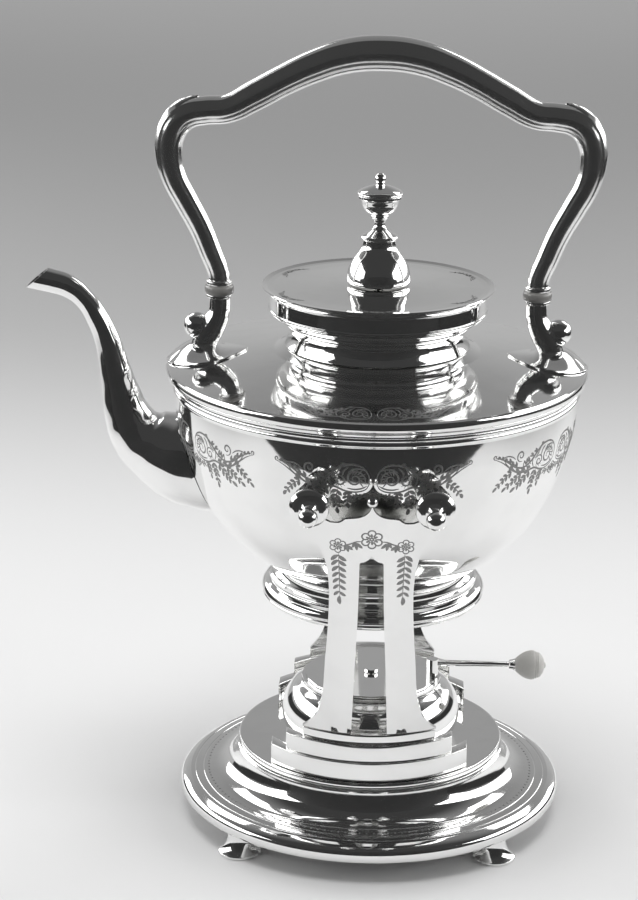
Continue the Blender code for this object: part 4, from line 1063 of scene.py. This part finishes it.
def leaf(x, y, direction, length, width):
    """A leaf is one broad cut that bends a little."""
    turn = math.radians(direction)
    forward, aside = Vector((math.cos(turn), math.sin(turn))), Vector((-math.sin(turn), math.cos(turn)))
    start = Vector((x, y))
    points = [start, start + forward * length * 0.35 + aside * length * 0.08,
              start + forward * length * 0.7 + aside * length * 0.06, start + forward * length]
    return stroke(points, width, ends=0.05, step=length / 5)


def flower(x, y, size, petals=6):
    """Petals as small loops round a dotted middle."""
    cuts = []
    for index in range(petals):
        turn = math.tau * index / petals + math.pi / 2
        out_x, out_y = size * math.cos(turn), size * math.sin(turn)
        heading = math.degrees(turn)
        cuts.append(scroll(x + out_x * 0.66, y + out_y * 0.66, size * 0.36, size * 0.36, heading + 180, 1.0,
                           size * 0.11))
        cuts.append(leaf(x + out_x * 0.22, y + out_y * 0.22, heading, size * 0.42, size * 0.16))
    cuts.append(scroll(x, y, size * 0.2, size * 0.12, 0, 1.4, size * 0.12))
    return cuts


def garland(points, pairs, length, width):
    """A stem with leaves in pairs and one at its end."""
    path = flowing(points, 0.5)
    cuts = [stroke(points, 0.28, step=1.0)]
    for index in range(pairs):
        t = (index + 0.35) / pairs
        here = path[int(t * (len(path) - 1))]
        there = path[min(int(t * (len(path) - 1)) + 1, len(path) - 1)]
        heading = math.degrees(math.atan2(there.y - here.y, there.x - here.x))
        shrink = 1.0 - 0.25 * t
        for side in (-1, 1):
            cuts.append(leaf(here.x, here.y, heading + side * 48, length * shrink, width * shrink))
    heading = math.degrees(math.atan2(path[-1].y - path[-2].y, path[-1].x - path[-2].x))
    cuts.append(leaf(path[-1].x, path[-1].y, heading, length, width))
    return cuts


def both_sides(cuts):
    """The cuts and their mirror image."""
    return cuts + [([Vector((-point.x, point.y)) for point in path], widths) for path, widths in cuts]


EDGE_RISE, RIDGE_RISE, SUNK = 0.012, 0.07, 0.05


def laid(name, cuts, place, body, bold=1.0):
    """Turns the cuts into slim closed ridges that lie half sunk in a surface."""
    shape = bmesh.new()
    for path, widths in cuts:
        rows = []
        for index, point in enumerate(path):
            ahead = path[min(index + 1, len(path) - 1)] - path[max(index - 1, 0)]
            if ahead.length < 1e-9:
                continue
            across = Vector((-ahead.y, ahead.x)).normalized() * (widths[index] * bold / 2)
            ring = ((point + across, EDGE_RISE), (point, RIDGE_RISE),
                    (point - across, EDGE_RISE), (point, -SUNK))
            rows.append([shape.verts.new(place(spot.x, spot.y, rise)) for spot, rise in ring])
        for row, following in zip(rows, rows[1:]):
            for index in range(4):
                after = (index + 1) % 4
                shape.faces.new((row[index], row[after], following[after], following[index]))
        shape.faces.new(rows[0][::-1])
        shape.faces.new(rows[-1])
    bmesh.ops.recalc_face_normals(shape, faces=shape.faces)
    mesh = bpy.data.meshes.new(name)
    shape.to_mesh(mesh)
    shape.free()
    thing = bpy.data.objects.new(name, mesh)
    bpy.context.scene.collection.objects.link(thing)
    return dressed(thing, engraved, "silver", body, smooth=20)


# %% [markdown]
# One half of the panel is drawn, and the other is its mirror image. A spot is millimetres right of the
# middle and above the line of the pins' tops.

# %% The panel of scrolls
scrolls = [
    stroke([(1.3, -2.0), (1.9, 1.8), (4.2, 4.6), (8.0, 5.7), (12.4, 4.9), (16.0, 2.2), (19.4, -0.9),
            (23.4, -2.4), (27.6, -1.5), (31.6, 0.9), (35.4, 3.2), (39.0, 4.5)], 0.55, step=0.7),
    stroke([(1.3, -2.0), (2.9, -4.9), (6.6, -6.2), (11.2, -5.9), (15.6, -4.2), (19.8, -4.4), (24.4, -4.4),
            (28.6, -2.9), (32.4, -0.3), (36.0, 2.2), (39.4, 3.9)], 0.50, step=0.7),
    scroll(7.2, -0.6, 4.3, 0.7, 200, -1.7, 0.42),
    scroll(13.4, -1.6, 2.9, 0.5, 20, 1.5, 0.38),
    scroll(25.6, 3.2, 2.7, 0.5, 250, 1.4, 0.42),
    scroll(39.6, 4.9, 1.1, 0.3, 230, 1.1, 0.32),
    scroll(20.0, -2.5, 1.5, 0.4, 160, -1.2, 0.30),
    stroke([(3.0, 3.2), (5.0, 3.9), (7.8, 3.6), (9.9, 2.2)], 0.40),
    stroke([(9.9, 4.4), (11.6, 2.8), (12.2, 0.6)], 0.40),
    stroke([(13.4, 3.5), (14.9, 1.4), (16.8, 0.2)], 0.38),
    stroke([(2.4, -3.4), (4.6, -4.6), (7.6, -5.1), (10.4, -4.6)], 0.40),
    stroke([(16.4, -3.6), (17.6, -1.8), (17.6, 0.2)], 0.34),
    stroke([(21.4, -3.9), (22.6, -2.9), (23.4, -1.6), (23.4, 0.4)], 0.34),
    stroke([(24.6, -4.1), (26.4, -2.6), (27.8, -0.6), (28.2, 1.4)], 0.34),
    stroke([(28.0, -2.9), (30.0, -1.4), (31.2, 0.4), (31.4, 2.2)], 0.32),
    stroke([(31.0, -1.0), (33.0, 0.4), (34.2, 2.0), (34.2, 3.6)], 0.30),
    stroke([(28.6, 2.2), (30.6, 3.6), (33.2, 4.3), (35.6, 4.0)], 0.34),
]
for index in range(7):
    turn = math.radians(62 + 24 * index)
    scrolls.append(stroke([(7.2 + 1.9 * math.cos(turn), -0.6 + 1.9 * math.sin(turn)),
                           (7.2 + 3.2 * math.cos(turn + 0.25), -0.6 + 3.2 * math.sin(turn + 0.25)),
                           (7.2 + 4.6 * math.cos(turn + 0.3), -0.6 + 4.9 * math.sin(turn + 0.3))], 0.30))
for index in range(5):
    turn = math.radians(-150 + 30 * index)
    scrolls.append(stroke([(13.4 + 1.1 * math.cos(turn), -1.6 + 1.1 * math.sin(turn)),
                           (13.4 + 2.9 * math.cos(turn - 0.3), -1.6 + 2.9 * math.sin(turn - 0.3))], 0.26))

acanthus = [(15.4, 2.4, 58, 2.6), (17.4, 1.2, 40, 2.9), (19.8, -0.8, 62, 3.0), (21.6, -1.6, 84, 3.2),
            (27.2, -1.4, 66, 2.7), (29.2, -0.4, 52, 3.0), (31.2, 0.8, 70, 2.7), (33.2, 1.9, 58, 2.3),
            (35.2, 3.0, 64, 2.0), (37.0, 3.8, 50, 1.7), (18.4, -3.6, 20, 2.6), (22.0, -4.0, 28, 2.9),
            (25.4, -3.8, 34, 2.8), (29.4, -1.9, 36, 2.6), (10.6, 5.2, 20, 2.4), (12.6, 4.5, -48, 2.2)]
for x, y, heading, length in acanthus:
    scrolls.append(leaf(x, y, heading, length, 0.62))
    scrolls.append(leaf(x + 0.5, y + 0.1, heading - 26, length * 0.8, 0.5))
sprays = (garland([(18.6, -4.6), (20.4, -7.0), (22.8, -9.2), (25.4, -11.0)], 4, 3.3, 1.0)
          + garland([(14.2, -5.2), (14.8, -7.8), (15.2, -10.6), (14.8, -13.6)], 4, 3.1, 0.95)
          + garland([(23.6, -4.8), (25.8, -6.4), (28.6, -7.8), (31.0, -9.8)], 4, 2.9, 0.9)
          + garland([(29.6, -3.0), (32.0, -4.4), (34.4, -6.4), (36.4, -8.8)], 4, 2.7, 0.85)
          + garland([(9.6, -6.4), (10.4, -8.8), (10.2, -11.2)], 3, 2.7, 0.85)
          + garland([(1.6, -7.4), (4.0, -8.4), (6.4, -8.2), (8.4, -7.2)], 3, 2.1, 0.7))
pendant = flower(0.0, -8.0, 2.6, 6)
panel = both_sides(scrolls + sprays) + pendant


# %% [markdown]
# The panel goes round the bowl six times, bent to the same outline that the bowl was spun from.

# %% On the bowl
def reach_at(points, height):
    """Radius of an outline at a height."""
    for (high_r, high_z), (low_r, low_z) in zip(points, points[1:]):
        if low_z <= height <= high_z:
            return low_r + (high_r - low_r) * (height - low_z) / (high_z - low_z)
    return points[-1][0]


bowl_curve = [tuple(point) for point in flowing(bowl_side)]


def round_at(turn, radius, z):
    """A spot at a turn from the front, a radius and a height, the last two in millimetres."""
    return (AXIS_X + radius * math.sin(turn) * MM, -radius * math.cos(turn) * MM, z * MM)


PANEL_Z = 177.0


def on_bowl(u, v, rise):
    return round_at(u / 84.0, reach_at(bowl_curve, PANEL_Z + v) + rise, PANEL_Z + v)


first_panel = laid("engraving_bowl_1", panel, on_bowl, "kettle", bold=1.8)
for index, degrees in enumerate((62, -62, 180, 118, -118)):
    twin = about(copied(first_panel, f"engraving_bowl_{index + 2}"), round_the_axis(degrees))
    dressed(twin, engraved, "silver", "kettle", smooth=20)


# %% [markdown]
# The shoulder has the scrolls without their sprays, and the lid a small swag six times.

# %% On the shoulder and the lid
def on_shoulder(u, v, rise):
    radius = 78.4 - v * 0.95
    return round_at(u * 0.86 / 80.0, radius, shoulder_z(radius) + rise)


frieze = both_sides([(path, [width * 1.1 for width in widths]) for path, widths in scrolls])
front_frieze = laid("engraving_shoulder_front", frieze, on_shoulder, "kettle", bold=1.6)
back_frieze = about(copied(front_frieze, "engraving_shoulder_back"), round_the_axis(180))
dressed(back_frieze, engraved, "silver", "kettle", smooth=20)

swag = both_sides([stroke([(0.0, -1.6), (3.0, -1.2), (6.2, 0.2), (8.4, 2.0)], 0.35)]
                  + garland([(1.0, -1.6), (4.4, -0.9), (7.6, 1.2)], 4, 1.9, 0.65)) + flower(0.0, -1.4, 1.6, 5)


def on_lid(u, v, rise):
    radius = 42.6 - v * 0.9
    return round_at(u / 42.0, radius, 233.93 + 0.004 * max(42.0 - radius, 0.0) + rise)


first_swag = laid("engraving_lid_1", swag, on_lid, "hinged_lid")
for index in range(5):
    twin = about(copied(first_swag, f"engraving_lid_{index + 2}"), round_the_axis(60 * (index + 1)))
    dressed(twin, engraved, "silver", "hinged_lid", smooth=20)


# %% [markdown]
# Flowers and two hanging sprays fill the head of each upright, and fine cuts mark a ring on the base.

# %% On the uprights and the base
def on_plate(u, v, rise):
    radius = plate_radius(v) + rise
    return (AXIS_X + u * MM, -math.sqrt(radius ** 2 - u ** 2) * MM, v * MM)


blossoms = flower(0.0, 151.9, 4.3, 6) + both_sides(
    flower(13.5, 148.2, 3.3, 6)
    + [leaf(5.6, 150.0, -128, 3.2, 0.9), leaf(5.8, 150.0, -90, 3.6, 0.9), leaf(6.0, 150.0, -52, 3.0, 0.9),
       leaf(9.4, 148.8, -130, 3.0, 0.9), leaf(9.4, 148.8, -92, 3.4, 0.9), leaf(9.4, 148.8, -56, 2.8, 0.9),
       stroke([(3.8, 150.8), (6.0, 150.6), (8.4, 149.4), (10.6, 148.8)], 0.5)]
    + garland([(13.2, 144.6), (13.0, 138.0), (12.8, 131.0), (12.6, 123.4)], 7, 4.3, 1.2))
front_blossoms = laid("engraving_upright_front", blossoms, on_plate, "stand", bold=1.5)
back_blossoms = about(copied(front_blossoms, "engraving_upright_back"), round_the_axis(180))
dressed(back_blossoms, engraved, "silver", "stand", smooth=20)


def on_base(u, v, rise):
    return round_at(u, 70.4 + v, 17.78 + rise)


DOTS = 150
dots = []
for index in range(DOTS):
    turn = math.tau * index / DOTS
    dots.append(([Vector((turn, -0.55)), Vector((turn, 0.0)), Vector((turn, 0.55))], [0.004, 0.014, 0.004]))
laid("engraving_base_ring", dots, on_base, "stand")

# %% [markdown]
# ## The studio
#
# Mirrors need something to mirror. The photograph's own reflections tell the room: a pale table whose
# front edge is some 28 centimetres before the kettle, two large soft lamps at the sides, darkness
# where the photographer stands, and a grey backdrop. Dark cards, seen only in reflections, hide what
# lies beyond the table.

# %% Table
def grey(tone):
    return (tone, tone, tone, 1.0)


def sheet(name, size, spot, turn=(0.0, 0.0, 0.0)):
    """A flat rectangle."""
    deselect()
    bpy.ops.mesh.primitive_plane_add(size=1.0, location=spot, rotation=turn)
    thing = bpy.context.object
    thing.name = name
    thing.scale = (size[0], size[1], 1.0)
    bpy.ops.object.transform_apply(location=True, rotation=True, scale=True)
    return thing


table = sheet("table_top", (8.0, 8.0), (AXIS_X, 1.2, 0.0))
paper = Finish("table_paper")
x, y, z = paper.apart(paper.place())
fibre = paper.noise(paper.place(), 900.0, 3.0)
# Painted shade: the table's colour grows darker away from the kettle and towards the sides, for the fall of
# the lamps' light.
far_shade_mask, far_glow_mask = paper.between(0.25, 0.85, y), paper.between(0.8, 2.8, y)
aside = paper.between(0.09, 0.40, x * x)
falloff_shaded_tone = paper.mixed(far_shade_mask, grey(0.78), grey(0.50))
# The far table also glows pale grey, a painted light that is only seen, by the camera and in mirrors. It
# lights nothing.
kinds = ("Camera", "Glossy", "Transmission")
seen = sum(paper.node("ShaderNodeLightPath", {}, output=f"Is {kind} Ray") for kind in kinds).clipped()
paper.surface(Base_Color=paper.mixed(aside, falloff_shaded_tone, grey(0.50)), Roughness=0.6 + fibre * 0.1,
              Emission_Color=paper.mixed(far_glow_mask * seen, grey(0.0), grey(0.26)), Emission_Strength=1.0)
table.data.materials.append(paper.data)


def card(name, size, spot, turn, tone):
    """A dark card that only reflections see: painted shade for the dark room around the table."""
    thing = sheet(name, size, spot, turn)
    cloth = Finish(name + "_cloth")
    weave = cloth.noise(cloth.place(), 30.0, 2.0)
    cloth.surface(Base_Color=cloth.mixed(weave, grey(tone), grey(tone * 1.5)), Roughness=0.9)
    thing.data.materials.append(cloth.data)
    thing.visible_camera = False
    thing.visible_diffuse = False
    thing.visible_shadow = False
    return thing


upright_turn = (math.pi / 2, 0.0, 0.0)
side_turn = (math.pi / 2, 0.0, math.pi / 2)
# Painted shade: these cards stand for the unlit room in the reflections of the silver.
card("dark_card_front", (1.5, 0.34), (AXIS_X, -0.285, 0.17), upright_turn, 0.012)
card("dark_card_left", (1.04, 0.15), (AXIS_X - 0.64, 0.23, 0.075), side_turn, 0.02)
card("dark_card_right", (1.04, 0.15), (AXIS_X + 0.64, 0.23, 0.075), side_turn, 0.02)


# %% [markdown]
# Two long lamps stand at the sides with a smaller one high behind each. The lamp above lights the table
# and isn't mirrored. The room is dark in front and grey behind.

# %% Lamps and world
def soft_lamp(name, size, spot, aim, watts):
    deselect()
    bpy.ops.object.light_add(type="AREA", location=spot)
    lamp = bpy.context.object
    lamp.name = name
    lamp.data.shape = "RECTANGLE"
    lamp.data.size, lamp.data.size_y = size
    lamp.data.energy = watts
    heading = Vector(aim) - Vector(spot)
    lamp.rotation_euler = heading.to_track_quat("-Z", "Y").to_euler()
    return lamp


for side_name, side in SIDES:
    soft_lamp(f"lamp_{side_name}", (2.1, 0.44), (AXIS_X + side * 0.95, 0.42, 0.50), (AXIS_X, 0.42, 0.42), 8.5)
    soft_lamp(f"lamp_high_{side_name}", (0.5, 0.4), (AXIS_X + side * 0.64, 0.77, 0.98), (AXIS_X, 0.0, 0.2),
              1.9)
top_light = soft_lamp("lamp_above", (0.8, 0.6), (AXIS_X, -0.25, 1.30), (AXIS_X, -0.20, 0.0), 10.0)
top_light.visible_glossy = False

world = bpy.data.worlds.new("studio")
bpy.context.scene.world = world
world.use_nodes = True
room = Finish("studio", world)
direction = room.node("ShaderNodeTexCoord", {}, output="Generated")
x, y, z = room.apart(direction)
behind = room.between(-0.1, 0.5, y)
high = room.between(0.0, 0.75, z)
level = 0.045 + behind * (0.42 - high * 0.26)
sky = room.tree.nodes["Background"]
room.put(sky.inputs["Strength"], level)
sky.inputs["Color"].default_value = (1.0, 1.0, 1.0, 1.0)

# Silver mirrors silver here many times over, so light may bounce more often than usual.
bpy.context.scene.cycles.max_bounces = 16
bpy.context.scene.cycles.glossy_bounces = 14

# %% [markdown]
# ## The end
#
# The view transform is plain.

# %% The end
bpy.data.objects.remove(solid_bowl)
bpy.context.scene.view_settings.view_transform = "Standard"
